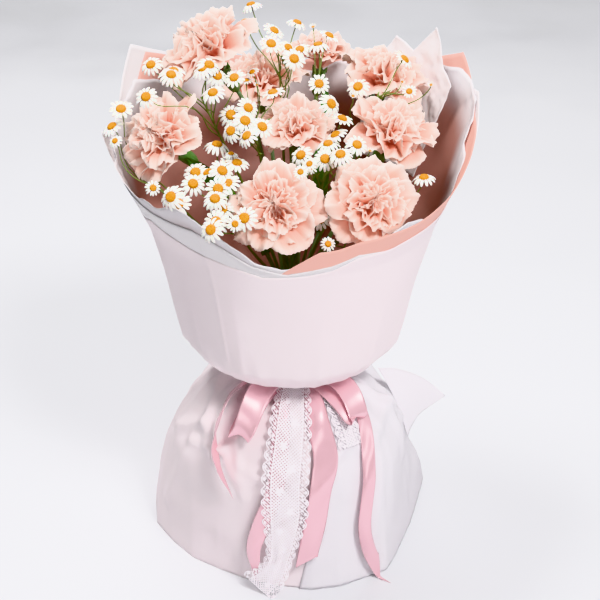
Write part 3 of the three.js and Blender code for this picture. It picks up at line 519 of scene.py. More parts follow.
def apply_modifiers(piece):
    """Works a piece's modifiers into its mesh."""
    select_only(piece)
    for modifier in list(piece.modifiers):
        bpy.ops.object.modifier_apply(modifier=modifier.name)


SEAM_GAP = 0.02  # points closer than this become one where a seam is closed


def close_seam(piece):
    """Joins the first and last column of a sheet that goes all the way round."""
    select_only(piece)
    bpy.ops.object.mode_set(mode="EDIT")
    bpy.ops.mesh.select_all(action="SELECT")
    bpy.ops.mesh.remove_doubles(threshold=SEAM_GAP * MM)
    bpy.ops.object.mode_set(mode="OBJECT")


def thicken(piece, thickness):
    """Gives a sheet its thickness, half to each side."""
    modifier = piece.modifiers.new("Thickness", "SOLIDIFY")
    modifier.thickness = thickness
    modifier.offset = 0
    apply_modifiers(piece)


def smooth(piece):
    """Shades a piece smoothly."""
    piece.data.polygons.foreach_set("use_smooth", np.ones(len(piece.data.polygons), bool))
    piece.data.update()


def place_mesh(name, mesh):
    """An object that shows a mesh, in the scene."""
    piece = bpy.data.objects.new(name, mesh)
    bpy.context.scene.collection.objects.link(piece)
    return piece


def finish_piece(piece, nodes, slot, *materials):
    """Smooths a piece, gives it its materials, and lets it stand for its solids."""
    smooth(piece)
    for material in materials:
        piece.data.materials.append(material)
    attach(piece, "root")
    if nodes:
        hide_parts(*nodes)
    return piece


# ------------------------------------------------------------------ materials


def add_node(material, kind, inputs=(), **settings):
    """Adds a node with its settings; each input is a value or another node's output."""
    node = material.node_tree.nodes.new(kind)
    for name, value in settings.items():
        setattr(node, name, value)
    for name, value in dict(inputs).items():
        socket = node.inputs[name]
        if isinstance(value, bpy.types.NodeSocket):
            material.node_tree.links.new(value, socket)
        else:
            socket.default_value = value
    return node


def new_material(name, **shader):
    """A material with a principled shader and its uniform settings."""
    material = bpy.data.materials.new(name)
    material.use_nodes = True
    material.node_tree.nodes.clear()
    surface = add_node(material, "ShaderNodeBsdfPrincipled",
                       {key.replace("_", " "): value for key, value in shader.items()})
    output = add_node(material, "ShaderNodeOutputMaterial")
    material.node_tree.links.new(surface.outputs["BSDF"], output.inputs["Surface"])
    return material, surface


def link(material, output, socket):
    """Leads a node's output to a socket."""
    material.node_tree.links.new(output, socket)


def rgba(value):
    """A colour as the sockets take it."""
    return (*value, 1.0)


def blend_colours(material, share, first, second, mode="MIX"):
    """A mix of two colours by a share, each a value or an output."""
    node = add_node(material, "ShaderNodeMix", {0: share, 6: first, 7: second}, data_type="RGBA",
                    blend_type=mode)
    return node.outputs[2]


def object_noise(material, scale, detail=3.0, stretch=(1, 1, 1)):
    """Noise over the piece in metres, with so many features to the metre."""
    place = add_node(material, "ShaderNodeTexCoord").outputs["Object"]
    mapped = add_node(material, "ShaderNodeMapping", {"Vector": place, "Scale": stretch}).outputs[0]
    return add_node(material, "ShaderNodeTexNoise", {"Vector": mapped, "Scale": scale, "Detail": detail})


def surface_noise(material, scale, detail=2.0, stretch=(1, 1, 1)):
    """Noise over the piece's own surface map."""
    place = add_node(material, "ShaderNodeUVMap", uv_map="surface").outputs[0]
    mapped = add_node(material, "ShaderNodeMapping", {"Vector": place, "Scale": stretch}).outputs[0]
    return add_node(material, "ShaderNodeTexNoise", {"Vector": mapped, "Scale": scale, "Detail": detail})


def bump(material, surface, height, depth, strength=1.0):
    """Relief of a depth in millimetres from a height between 0 and 1."""
    node = add_node(material, "ShaderNodeBump",
                    {"Height": height, "Distance": depth * MM, "Strength": strength})
    link(material, node.outputs[0], surface.inputs["Normal"])


def ramp(material, share, stops):
    """A colour ramp from (place, colour) stops."""
    node = add_node(material, "ShaderNodeValToRGB", {"Fac": share})
    points = node.color_ramp.elements
    while len(points) < len(stops):
        points.new(0.5)
    for point, (place, value) in zip(points, stops):
        point.position = place
        point.color = rgba(value)
    return node.outputs[0]


def petal_material(name, colours):
    """Fresh carnation petal: matte and velvety, with a faint salmon glow that is painted light, an
    emission that keeps the shade in the folds warm; deep orange at the claw, salmon in the bloom and
    cream at the toothed edge, partly the flower's own colour and partly painted shade deep in the
    bloom, with fine veins that run out to the edge."""
    # The emission is painted light: a faint salmon glow that lightens the shade in the folds.
    material, surface = new_material(
        name, Roughness=0.62, IOR=1.4, Sheen_Weight=0.12, Sheen_Roughness=0.6,
        Emission_Strength=0.06, Emission_Color=rgba(colours.petal_heart))
    place = add_node(material, "ShaderNodeUVMap", uv_map="surface").outputs[0]
    along = add_node(material, "ShaderNodeSeparateXYZ", {0: place}).outputs["Y"]
    # Darker towards the claw: partly the petal's own colour, partly painted shade deep in the bloom.
    base = ramp(material, along, [(0.24, colours.petal_claw), (0.54, colours.petal_heart),
                                  (0.8, colours.petal_body), (1.0, colours.petal_edge)])
    tone = add_node(material, "ShaderNodeAttribute", attribute_name="tone").outputs["Fac"]
    pale = blend_colours(material, tone, base, rgba(colours.petal_edge))
    veins = surface_noise(material, 1.0, 2.0, (34, 1.4, 1))
    streaked = blend_colours(material, 0.2, pale, veins.outputs["Fac"], "SOFT_LIGHT")
    link(material, streaked, surface.inputs["Base Color"])
    bump(material, surface, veins.outputs["Fac"], 0.25, 0.5)
    return material


def ray_material(name, colours):
    """Chamomile ray: white and matte, a little light passes into it, with faint grooves along it."""
    material, surface = new_material(name, Roughness=0.6, Subsurface_Weight=0.15, Subsurface_Scale=0.002)
    grooves = surface_noise(material, 1.0, 1.0, (14, 1, 1))
    tinted = blend_colours(material, 0.12, rgba(colours.ray), grooves.outputs["Color"], "SOFT_LIGHT")
    link(material, tinted, surface.inputs["Base Color"])
    return material


def disc_material(name, colours):
    """Chamomile disc: golden florets about a millimetre apart, and painted brown shade in the gaps."""
    material, surface = new_material(name, Roughness=0.75)
    place = add_node(material, "ShaderNodeTexCoord").outputs["Object"]
    florets = add_node(material, "ShaderNodeTexVoronoi", {"Vector": place, "Scale": 1100.0})
    # Painted shade: darker towards the edge of each floret.
    shade = ramp(material, florets.outputs["Distance"], [(0.1, colours.disc), (0.9, colours.disc_shade)])
    link(material, shade, surface.inputs["Base Color"])
    height = add_node(material, "ShaderNodeMath", {0: 1.0, 1: florets.outputs["Distance"]},
                      operation="SUBTRACT")
    bump(material, surface, height.outputs[0], 0.3)
    return material


def green_material(name, value, second, roughness, grain):
    """Living green skin: slightly waxy, mottled along its length."""
    material, surface = new_material(name, Roughness=roughness, Subsurface_Weight=0.08,
                                     Subsurface_Scale=0.002)
    mottle = object_noise(material, grain, 3.0, (1, 1, 0.25))
    mixed = blend_colours(material, mottle.outputs["Fac"], rgba(value), rgba(second))
    link(material, mixed, surface.inputs["Base Color"])
    bump(material, surface, mottle.outputs["Fac"], 0.2, 0.4)
    return material


def paper_material(name, value, shade, roughness=0.62, alpha=1.0, relief=0.18, lining=None):
    """Florist's paper, tissue or film: fine fibres and a faint cloudiness keep its light soft, and an
    alpha under 1 lets what lies behind show; where the tone is low a darker colour shows, which is
    painted shade, on the tissue also the peach sheet showing through."""
    material, surface = new_material(name, Roughness=roughness, Alpha=alpha)
    cloud = object_noise(material, 22.0, 3.0)
    clouded = blend_colours(material, cloud.outputs["Fac"], rgba(value), rgba(shade))
    if lining:
        tone = add_node(material, "ShaderNodeAttribute", attribute_name="tone").outputs["Fac"]
        clouded = blend_colours(material, tone, rgba(lining), clouded)
    link(material, clouded, surface.inputs["Base Color"])
    fibres = object_noise(material, 420.0, 4.0)
    bump(material, surface, fibres.outputs["Fac"], relief, 0.35)
    return material


def satin_material(name, colours):
    """Woven satin: smooth and half metallic, which gives it stretched highlights and deep folds,
    with a faint sheen at grazing angles."""
    material, _ = new_material(
        name, Base_Color=rgba(colours.satin), Roughness=0.25, Metallic=0.4, Specular_IOR_Level=0.9,
        Anisotropic=0.6, Sheen_Weight=0.15, Sheen_Roughness=0.3)
    return material


def thread_material(name, value, grain):
    """Cotton thread: matte and finely twisted."""
    material, surface = new_material(name, Roughness=0.85, Sheen_Weight=0.2, Sheen_Roughness=0.5)
    twist = object_noise(material, grain, 2.0)
    shaded = blend_colours(material, 0.2, rgba(value), twist.outputs["Color"], "SOFT_LIGHT")
    link(material, shaded, surface.inputs["Base Color"])
    bump(material, surface, twist.outputs["Fac"], 0.15, 0.5)
    return material


def darker(value, share):
    """A colour at a share of its brightness."""
    return tuple(share * v for v in value)


def named(name, make, *details, **settings):
    """A material by its name, made the first time that it is asked for."""
    return bpy.data.materials.get(name) or make(name, *details, **settings)


# ------------------------------------------------------------------ carnations

# Rows of petals from the outside in: how many, length and width as shares of the radius, lean
# from the axis at the claw and at the edge in degrees, depth of the folds, paleness.
PETAL_ROWS = [
    dict(count=5, long=1.36, wide=1.30, lean=(30, 116), fold=0.10, tone=0.2),
    dict(count=5, long=1.34, wide=1.22, lean=(24, 98), fold=0.12, tone=0.15),
    dict(count=6, long=1.28, wide=1.06, lean=(17, 84), fold=0.14, tone=0.1),
    dict(count=6, long=1.22, wide=0.98, lean=(11, 68), fold=0.15, tone=0.06),
    dict(count=6, long=1.16, wide=0.86, lean=(7, 50), fold=0.15, tone=0.03),
    dict(count=6, long=1.10, wide=0.74, lean=(3, 30), fold=0.15, tone=0.02),
    dict(count=5, long=1.03, wide=0.66, lean=(0, 10), fold=0.14, tone=0.0),
    dict(count=3, long=1.00, wide=0.55, lean=(-6, -4), fold=0.13, tone=0.0),
]
TEETH = 15  # along the edge of a petal
FULLNESS = 1.06  # soft petals reach this much past the bloom's radius
PETAL_ROOM = 5  # petals keep this far from the sheet round them
PETAL_HEIGHTS = (200, 440)  # the sheet's radius is taken between these
ROW_TURN = 1.9  # radians that each row is turned against the one before


def bloom_frame(bloom):
    """Base, axis and cross axes of a bloom."""
    axis = unit(bloom["facing"])
    side, other = cross_axes(axis, least_axis(axis))
    base = np.array(bloom["centre"]) - BLOOM_DEPTH * bloom["radius"] * axis
    return base, axis, side, other


def flat_petal(thickness):
    """One petal laid flat, as points (across -1 to 1, along 0 to 1, through) and faces."""
    piece, places = new_grid("petal_pattern", 2 * TEETH, 10)
    points = np.column_stack([2 * places[:, 0] - 1, places[:, 1], np.zeros(len(places))])
    set_points(piece, points / MM)
    thicken(piece, 1.0)
    points = np.empty(len(piece.data.vertices) * 3)
    piece.data.vertices.foreach_get("co", points)
    faces = np.array([tuple(face.vertices) for face in piece.data.polygons])
    bpy.data.objects.remove(piece)
    points = points.reshape(-1, 3)
    points[:, 0] = np.clip(points[:, 0], -1, 1)
    points[:, 1] = np.clip(points[:, 1], 0, 1)
    points[:, 2] = np.sign(points[:, 2]) * thickness / 2
    return points, faces


def shaped_petal(flat, bloom, row, turn, draw):
    """A petal's points in the bloom: it leans outward along its length and folds across it."""
    base, axis, side, other = bloom_frame(bloom)
    radius = bloom["radius"] * FULLNESS
    u, v, w = flat.T
    # The outline: rounded, with teeth and a few slow waves along the edge, and a narrow claw.
    long = radius * row["long"] * draw.uniform(0.9, 1.06)
    wide = radius * row["wide"] * draw.uniform(0.86, 1.12)
    margin = smoothstep(0.8, 1, v)
    teeth = np.abs((u * TEETH / 2 + 0.5) % 1 - 0.5) * 4 - 1
    uneven = np.sin(3.1 * u + draw.uniform(0, 6)) + 0.5 * np.sin(7 * u + draw.uniform(0, 6))
    run = v * (1 - 0.3 * np.abs(u)**2.6) * long + margin * radius * (0.011 * teeth + 0.035 * uneven)
    half = wide / 2 * (0.12 + 0.88 * smoothstep(0.08, 0.8, v))
    # The lean: a curve from the claw to the edge, worked out in small steps.
    steps = np.linspace(0, 1.15 * long, 60)
    low, high = np.radians(row["lean"][0]), np.radians(row["lean"][1] + draw.uniform(-15, 12))
    lean = low + (high - low) * np.clip(steps / long, 0, 1)**draw.uniform(1.1, 1.9)
    outs = 0.04 * radius + np.concatenate([[0], np.cumsum(np.sin(lean[:-1]) * np.diff(steps))])
    ups = np.concatenate([[0], np.cumsum(np.cos(lean[:-1]) * np.diff(steps))])
    out, up, tilt = (np.interp(run, steps, values) for values in (outs, ups, lean))
    # The folds, which grow towards the edge, then the cup, the curl and the twist of the whole.
    phase = [draw.uniform(0, 2 * np.pi) for _ in range(4)]
    grow = smoothstep(0.18, 0.95, v)
    broad = np.sin(draw.uniform(0.8, 1.5) * np.pi * u + phase[0])
    crease = 1 - 2 * np.abs(np.sin(draw.uniform(0.8, 1.3) * np.pi * u + phase[1]))
    ruffle = 0.22 * np.sin(6.5 * np.pi * u + phase[3]) * margin
    wave = 0.5 * np.sin(3.3 * np.pi * u + phase[2] + 1.5 * v) + ruffle
    twist = draw.uniform(-0.16, 0.16) * radius * u * grow
    lift = w + radius * row["fold"] * grow * (0.75 * broad + 0.45 * crease + wave) + twist
    cup = draw.uniform(-0.02, 0.10) * radius * (np.abs(u)**2 - 0.3) * smoothstep(0.2, 0.7, v)
    curl = draw.uniform(-0.05, 0.09) * radius * margin
    around_axis = u * half / np.sqrt(out**2 + (0.36 * radius)**2) + turn
    direction = np.outer(np.cos(around_axis), side) + np.outer(np.sin(around_axis), other)
    reach = out - (lift + cup + curl) * np.cos(tilt)
    rise = up + (lift + cup - curl) * np.sin(tilt)
    return base + axis * rise[:, None] + direction * reach[:, None]


def keep_inside(points):
    """Draws petals in from the sheet round them, below its rim."""
    reach = np.hypot(points[:, 0], points[:, 1])
    azimuth = np.degrees(np.arctan2(points[:, 1], points[:, 0]))
    limit = wrap_radius(TISSUE, np.clip(points[:, 2], *PETAL_HEIGHTS)) - PETAL_ROOM
    below = 1 - smoothstep(-4, 14, points[:, 2] - around(TISSUE["rim"], azimuth))
    points[:, :2] *= (1 - np.maximum(reach - limit, 0) * below / np.maximum(reach, 1))[:, None]
    return points


def bloom_mesh(bloom, index, flat, faces):
    """All petals of a bloom, row by row."""
    draw = random.Random(100 + index)
    cuttings = Cuttings()
    uv = np.column_stack([(flat[:, 0] + 1) / 2, flat[:, 1]])
    shade = draw.uniform(-0.03, 0.08)
    for level, row in enumerate(PETAL_ROWS):
        for k in range(row["count"]):
            turn = 2 * np.pi * (k + draw.uniform(-0.22, 0.22)) / row["count"] + ROW_TURN * level
            tone = max(0.0, row["tone"] + shade + draw.uniform(-0.06, 0.14))
            shift = np.array([draw.uniform(0, 3), 0])
            points = keep_inside(shaped_petal(flat, bloom, row, turn, draw))
            cuttings.add(points, faces, 0, uv + shift, tone)
    return cuttings.mesh(f"carnation_petals_{index + 1}")


def waist_place(ring, place):
    """A stem's place at the waist, on a ring of the hexagonal bundle."""
    corner = ring < 2 or place % 2 == 0
    reach = STEM_PITCH * (ring if corner else math.sqrt(3))
    return polar(reach, BUNDLE_TURN + place * (30 if ring == 2 else 60), WAIST_HEIGHT)


def spiral_point(waist, height):
    """Where a straight stem through a place at the waist passes a height."""
    turn = (height - WAIST_HEIGHT) / SPIRAL_LENGTH
    return np.array([waist[0] - turn * waist[1], waist[1] + turn * waist[0], height])


def stem_line(spot, end, direction, reach, steps):
    """A stem's line: straight through the waist, then a curve that ends along a direction."""
    waist = waist_place(spot["ring"], spot["place"])
    top = spiral_point(waist, WAIST_TOP)
    lead = unit(top - waist) * reach
    straight = [spiral_point(waist, z) for z in np.linspace(0, WAIST_TOP, 9)[:-1]]
    return np.vstack([straight, bezier([top, top + lead, end - direction * reach, end], steps)])


def canopy_point(pixel, lift):
    """Where the photograph's pixel lies on the canopy raised by a lift."""
    pitch = math.radians(VIEW["pitch"])
    across = (pixel[0] - VIEW["axis"]) / VIEW["focal"]
    down = (pixel[1] - VIEW["middle"]) / VIEW["focal"]
    ray = np.array([across, math.cos(pitch) - down * math.sin(pitch),
                    -math.sin(pitch) - down * math.cos(pitch)])
    level = CANOPY_HEIGHT + lift - CANOPY_SLOPE * VIEW["distance"] - VIEW["height"]
    eye = np.array([0, -VIEW["distance"], VIEW["height"]])
    return eye + ray * level / (ray[2] - CANOPY_SLOPE * ray[1])


def clear_of_blooms(point, margin):
    """A point moved out of the blooms until it is a margin clear of them."""
    point = np.array(point, float)
    for bloom in CARNATIONS:
        axis, centre = unit(bloom["facing"]), np.array(bloom["centre"], float)
        offset = point - centre
        rise = offset @ axis
        depth = (BLOOM_DEPTH if rise > 0 else BLOOM_UNDER) * bloom["radius"]
        flat = np.linalg.norm(offset - rise * axis)
        size = math.hypot(flat / (BLOOM_REACH * bloom["radius"] + margin), rise / (depth + margin))
        if size < 1:
            point = centre + offset / size
    return point


def add_leaf(cuttings, root, tip, width, look):
    """A leaf blade from its root to its tip, keeled along the middle."""
    root, tip = np.asarray(root, float), np.asarray(tip, float)
    direction = unit(tip - root)
    normal, across = cross_axes(direction, (0, -0.5, 0.86))
    reach = np.linalg.norm(tip - root)
    rows, columns = 15, 9
    v, u = slab_places(rows, columns)
    half = width / 2 * np.sin(np.pi * np.clip(v * 0.93 + 0.07, 0, 1))**0.7
    wave = 0.04 * reach * np.sin(7 * v + 1.3 * u) * np.abs(u)
    up = 0.12 * reach * np.sin(np.pi * v) + 0.264 * half * np.abs(u) + wave
    top = root + np.outer(v * reach, direction) + np.outer(u * half, across) + np.outer(up, normal)
    blade = np.vstack([top, top - LEAF_THICKNESS * normal])
    uv = np.column_stack([(u + 1) / 2, v])
    cuttings.add(blade, slab_faces(rows, columns), look, np.vstack([uv, uv]))


def stem_mesh(bloom, index):
    """A carnation's stem with swollen joints, its toothed calyx, and its leaf if it has one."""
    base, axis, side, other = bloom_frame(bloom)
    foot = base - axis * CALYX_LENGTH
    line = stem_line(bloom, foot, axis, 50, 16)
    run = run_along(line)
    fine = np.linspace(0, run[-1], 90)
    line = points_at(fine, run, line)
    joints = np.arange(JOINTS["first"] + JOINTS["shift"] * index, run[-1] - 20, JOINTS["step"])
    swell = sum(JOINTS["swell"] * np.exp(-((fine - joint) / JOINTS["spread"])**2) for joint in joints)
    cuttings = Cuttings()
    radii = CARNATION_STEM / 2 - STEM_ROOM + np.where(fine > JOINTS["lowest"], swell, 0)
    add_tube(cuttings, line, radii, 10, 0)
    rise = np.array([0, 2.5, 6, 12, 19, 25.5])
    belly = np.array([2.2, 4.4, 5.6, 6.2, 6.5, CALYX_RADIUS - STEM_ROOM])
    add_tube(cuttings, foot + np.outer(rise, axis), belly, 15, 1)
    for k in range(5):
        angle = 2 * np.pi * k / 5
        out = side * np.cos(angle) + other * np.sin(angle)
        root = base - axis * 2.5 + out * 5.6
        tooth = [root, root + axis * 2 + out * 0.8, root + axis * 5 + out * 2.2]
        add_tube(cuttings, tooth, [2.3, 1.6, 0.2], 6, 1)
    if "leaf" in bloom:
        tip = canopy_point(bloom["leaf"], LEAF_LIFT)
        add_leaf(cuttings, line[LEAF_JOINT], tip, LEAF_WIDTH, 2)
    return cuttings.mesh(f"carnation_stalk_{index + 1}")


# ------------------------------------------------------------------ chamomile


def turned_body(profile, low, high, look, sides=18):
    """The disc or the cup of a flower, as cuttings: (radius, height) rings between two ends."""
    angles = np.linspace(0, 2 * np.pi, sides, endpoint=False)
    rings = [np.column_stack([radius * np.cos(angles), radius * np.sin(angles), np.full(sides, height)])
             for radius, height in profile]
    points = np.vstack(rings + [[[0, 0, high]], [[0, 0, low]]])
    k = np.arange(sides)
    after = (k + 1) % sides
    last, end = (len(profile) - 1) * sides, np.full(sides, len(profile) * sides)
    caps = np.vstack([np.stack([last + k, last + after, end], 1), np.stack([after, k, end + 1], 1)])
    uv = points[:, :2] + 0.5
    return [(points, ring_faces(len(profile), sides), look, uv), (points, caps, look, uv)]


def flower_pattern(rays, thickness, droop, seed):
    """A chamomile flower of unit radius that faces up: cuttings as (points, faces, look, uv)."""
    draw = random.Random(seed)
    parts = []
    rows, columns = 6, 5
    v, u = slab_places(rows, columns)
    faces = np.roll(slab_faces(rows, columns), -1, axis=1)
    for k in range(rays):
        angle = 2 * np.pi * (k + draw.uniform(-0.14, 0.14)) / rays
        reach = draw.uniform(0.9, 1.02)
        half = 0.118 * (0.5 + 0.5 * smoothstep(0, 0.4, v)) * np.sqrt(np.clip(1 - (v - 0.6)**4 * 20, 0.12, 1))
        out = 0.3 + (reach - 0.3) * v * (1 - 0.09 * np.abs(u)**2 * (v > 0.9))
        sag = droop + draw.uniform(-0.07, 0.07)
        up = 0.04 - sag * v**1.7 + 0.05 * np.sin(np.pi * v) - 0.035 * (1 - np.abs(u)) * (v > 0.1)
        layer = 0.012 * (k % 2)
        x, y = out, u * half
        top = np.column_stack([x * np.cos(angle) - y * np.sin(angle), x * np.sin(angle) + y * np.cos(angle),
                               up + layer])
        uv = np.column_stack([(u + 1) / 2, v])
        parts.append((np.vstack([top, top - [0, 0, thickness]]), faces, 0, np.vstack([uv, uv])))
    dome = []
    for t in np.linspace(-0.35, 1, 7)[:-1]:
        radius = 0.4 * math.sqrt(max(0.0, 1 - max(t, 0)**2.2)) * (1 if t > -0.3 else 0.8)
        dome.append((radius, 0.05 + 0.25 * t))
    parts += turned_body(dome, -0.05, 0.28, 1)
    parts += turned_body([(0.07, -0.34), (0.2, -0.22), (0.3, -0.08), (0.31, 0.0)], -0.36, 0, 2)
    return parts


def add_pattern(cuttings, parts, place, facing, size, spin):
    """A copy of a flower pattern at its place, turned to face along a direction."""
    side, other = cross_axes(facing, least_axis(facing))
    turned_side = side * math.cos(spin) + other * math.sin(spin)
    turned_other = np.cross(facing, turned_side)
    basis = np.array([turned_side, turned_other, facing])
    for points, faces, look, uv in parts:
        cuttings.add(place + (points * size) @ basis, faces, look, uv)


def spray_flowers(spray):
    """Every flower of a spray with its kind and its place, clear of the blooms."""
    flowers = []
    for kind, radius in FLOWER_RADII.items():
        for i, pixel in enumerate(spray[kind]):
            place = canopy_point(pixel, spray["lift"] + FLOWER_STEP * (i % 3 - 1))
            for _ in range(3):
                place = clear_of_blooms(place, radius + 1)
            flowers.append(dict(kind=kind, radius=radius, place=place))
    return flowers


def pedicel_line(root, rising, place, facing):
    """A pedicel's line from the stem to its flower, led round the blooms."""
    towards = unit(place - root)
    line = bezier([root, root + towards * 12 + rising * 6, place - facing * 14, place], PEDICEL_STEPS)
    moved = line.copy()
    moved[1:-1] = [clear_of_blooms(point, PEDICEL_ROOM) for point in line[1:-1]]
    for _ in range(2):
        moved[1:-1] = (moved[:-2] + 2 * moved[1:-1] + moved[2:]) / 4
    return moved


def spray_mesh(spray, index, patterns, pedicel):
    """A spray: the stem runs on as an axis, and a curved pedicel leads from it to each flower."""
    draw = random.Random(300 + index)
    flowers = spray_flowers(spray)
    mean = np.mean([f["place"] for f in flowers], axis=0)
    fork = np.array([0.72 * mean[0], 0.72 * mean[1], mean[2] - FORK_DEPTH])
    rising = unit(mean - fork)
    crown = clear_of_blooms(mean - rising * 0.35 * FORK_DEPTH, 2 * PEDICEL_ROOM)
    line = stem_line(spray, fork, rising, 40, 18)
    cuttings = Cuttings()
    taper = np.interp(line[:, 2], [WAIST_TOP, fork[2]], [SPRAY_STEM / 2 - STEM_ROOM, 1.0])
    add_tube(cuttings, np.vstack([line, crown]), np.append(taper, 0.6), 9, 2)
    flowers.sort(key=lambda f: -np.linalg.norm(f["place"] - mean))
    for i, flower in enumerate(flowers):
        root = fork + (crown - fork) * (i + 0.3) / len(flowers)
        outward = unit(flower["place"] - root)
        facing = unit(np.array([draw.uniform(-0.7, 0.7), draw.uniform(-0.95, -0.1), 0.6]) + 0.5 * outward)
        size = flower["radius"] * draw.uniform(0.94, 1.04)
        seat = flower["place"] - facing * 0.3 * size
        radii = np.linspace(1.0, 0.8, PEDICEL_STEPS) * pedicel
        add_tube(cuttings, pedicel_line(root, rising, seat, facing), radii, 7, 2)
        pattern = patterns["bud"] if flower["kind"] == "buds" else draw.choice(patterns["open"])
        add_pattern(cuttings, pattern, flower["place"], facing, size, draw.uniform(0, 6))
        if i % 3 == 0:
            mid = root + (flower["place"] - root) * 0.35
            add_leaf(cuttings, mid, mid + unit(outward + [draw.uniform(-1, 1), -0.4, 0]) * 11, 1.6, 2)
    return cuttings.mesh(f"chamomile_flowers_{index + 1}")


# ------------------------------------------------------------------ papers


PROFILE_CURVE = 0.35  # share of a smooth curve in a sheet's profile; the rest is straight


def profile_radius(profile, height):
    """A profile's radius at heights."""
    radii, heights = zip(*profile)
    curve, straight = smooth_along(heights, radii, height), np.interp(height, heights, radii)
    return PROFILE_CURVE * curve + (1 - PROFILE_CURVE) * straight


def wrap_radius(sheet, height):
    """A sheet's radius: its own below the mouth, and side by side with the others above."""
    inset = sheet["inset"]
    mouth = [(radius - inset, level) for radius, level in MOUTH]
    own = profile_radius(sheet["profile"] + mouth, height)
    beside = profile_radius(OUTER["profile"] + MOUTH, height) - inset
    return np.where(height > MOUTH[0][1], beside, own)


def chord_factor(azimuth, corners):
    """How far the flat panels between corners lie inside a round sheet."""
    corners = np.array([corners[-1] - 360] + list(corners) + [corners[0] + 360], float)
    k = np.clip(np.searchsorted(corners, azimuth % 360, side="right") - 1, 0, len(corners) - 2)
    half = (corners[k + 1] - corners[k]) / 2
    off = azimuth % 360 - corners[k] - half
    return np.cos(np.radians(half)) / np.cos(np.radians(off))


PRESS_LINE = 238  # a pressed line that runs up the sheets
LINING_AND_SHADE_END = 6  # this far under its rim a sheet shows nothing of its darker colour, the painted shade
CLOSING = (48, 4)  # the sheets close up between these depths under the outer one's rim
CRUMPLE_CELL = 22  # between the creases of the tissue
WALL = 120  # radius at which the papers' creases and waves are laid out

# Where the folds stand up from the waist, and the front that has less of them, in degrees.
WRAP_FRONT = ((212, 232), (300, 320))
WRAP_CORNERS = [12, 38, 71, 104, 136, 168, 196, 221, 246, 283, 312, 338]


def wrap_piece(name, sheet, columns, rows, shape, thickness, lining=None):
    """A sheet round the flowers; shape(azimuth, height) gives its relief outwards, and the last
    argument says how far under the rim a darker colour shows in full: painted shade, on the tissue
    also the peach sheet showing through."""
    piece, places = new_grid(name, columns, rows)
    azimuth = places[:, 0] * 360
    ragged = soft_field(polar(60, azimuth, 0), 9, sheet["inset"]) * sheet.get("ragged", 0)
    rim = around(sheet["rim"], azimuth) + ragged
    low = sheet["profile"][0][1]
    height = low + (rim - low) * places[:, 1]**0.92
    panels = (1 - smoothstep(230, 330, height)) * (1 - 0.6 * between(azimuth, *WRAP_FRONT))
    flat = 1 + (chord_factor(azimuth, WRAP_CORNERS) - 1) * panels
    radius = wrap_radius(sheet, height) * flat
    set_points(piece, polar(radius + shape(azimuth % 360, height), azimuth, height))
    # Painted shade by the tone: the tissue darkens away from its rim, and the film in a band at its rim.
    if lining:
        set_tones(piece.data, smoothstep(lining, LINING_AND_SHADE_END, rim - height))
    close_seam(piece)
    thicken(piece, thickness)
    return piece


def paper_relief(close, crumple=0, covers=()):
    """Relief of a sheet: gathers at the waist, soft waves and a pressed line above, and outwards by
    close at the mouth, where the sheets touch. A crumpled sheet is creased at the back and wherever
    it stands free above its covers."""
    def relief(azimuth, height):
        on_wall = polar(WALL, azimuth, height)
        angle = np.radians(azimuth)
        gathers = 0.5 * np.sin(23 * angle) + 0.5 * np.sin(37 * angle + 1)
        near_waist = between(height, (194, 206), (212, 260))
        waves = soft_field(on_wall, 70, 2.0) * smoothstep(215, 300, height)
        line = np.maximum(0, 1 - np.abs(azimuth - PRESS_LINE) / 1.4) * smoothstep(225, 240, height)
        mouth = around(OUTER["rim"], azimuth)
        value = 0.8 * gathers * near_waist + 0.7 * waves + 0.7 * line
        value = value + close * smoothstep(mouth - CLOSING[0], mouth - CLOSING[1], height)
        if crumple:
            coarse = crease_field(on_wall * (1, 1, 0.7), CRUMPLE_CELL, 1.0)
            fine = crease_field(on_wall, 0.42 * CRUMPLE_CELL, 6.0)
            cover = np.max([around(other["rim"], azimuth) for other in covers], axis=0)
            behind = smoothstep(-0.5, 0.1, np.sin(angle)) * smoothstep(-60, -5, height - cover)
            above = smoothstep(2, 12, height - cover)
            value = value + crumple * (0.35 * above - (coarse + 0.45 * fine) * np.maximum(above, behind))
        return value
    return relief


def corner_piece(thickness, crumple):
    """The loose corner of tissue that stands up at the back right."""
    piece, places = new_grid("crumpled_tissue_corner", 60, 50)
    first, last = CRUMPLED_RIM[0][0], CRUMPLED_RIM[-1][0]
    azimuth = first + places[:, 0] * (last - first)
    rim = np.interp(azimuth, *zip(*CRUMPLED_RIM))
    height = CRUMPLED_LOW + (rim - CRUMPLED_LOW) * places[:, 1]
    radius = wrap_radius(TISSUE, height) * 0.99 - 1.6 - 3 * smoothstep(CRUMPLED_LOW, 400, height)
    on_wall = polar(WALL, azimuth, height)
    creases = crease_field(on_wall, 17, 9.0) + 0.5 * crease_field(on_wall, 8, 4.0)
    depth = 1.1 * crumple * smoothstep(CRUMPLED_LOW, 380, height)
    set_points(piece, polar(radius - depth * creases, azimuth, height))
    thicken(piece, thickness)
    return piece


FOOT_LINES = np.array(FOOT, float).T
FOOT_WAYS = run_along(FOOT_LINES.T)
FOOT_LENGTH = float(FOOT_WAYS[-1])


def foot_curve(way):
    """Radius and height of the foot a way down from the waist, with its outward normal."""
    step = 1.5
    radius, height = (smooth_along(FOOT_WAYS, line, way) for line in FOOT_LINES)
    ahead, down = (smooth_along(FOOT_WAYS, line, way + step) - smooth_along(FOOT_WAYS, line, way - step)
                   for line in FOOT_LINES)
    size = np.hypot(ahead, down)
    return radius, height, -down / size, ahead / size


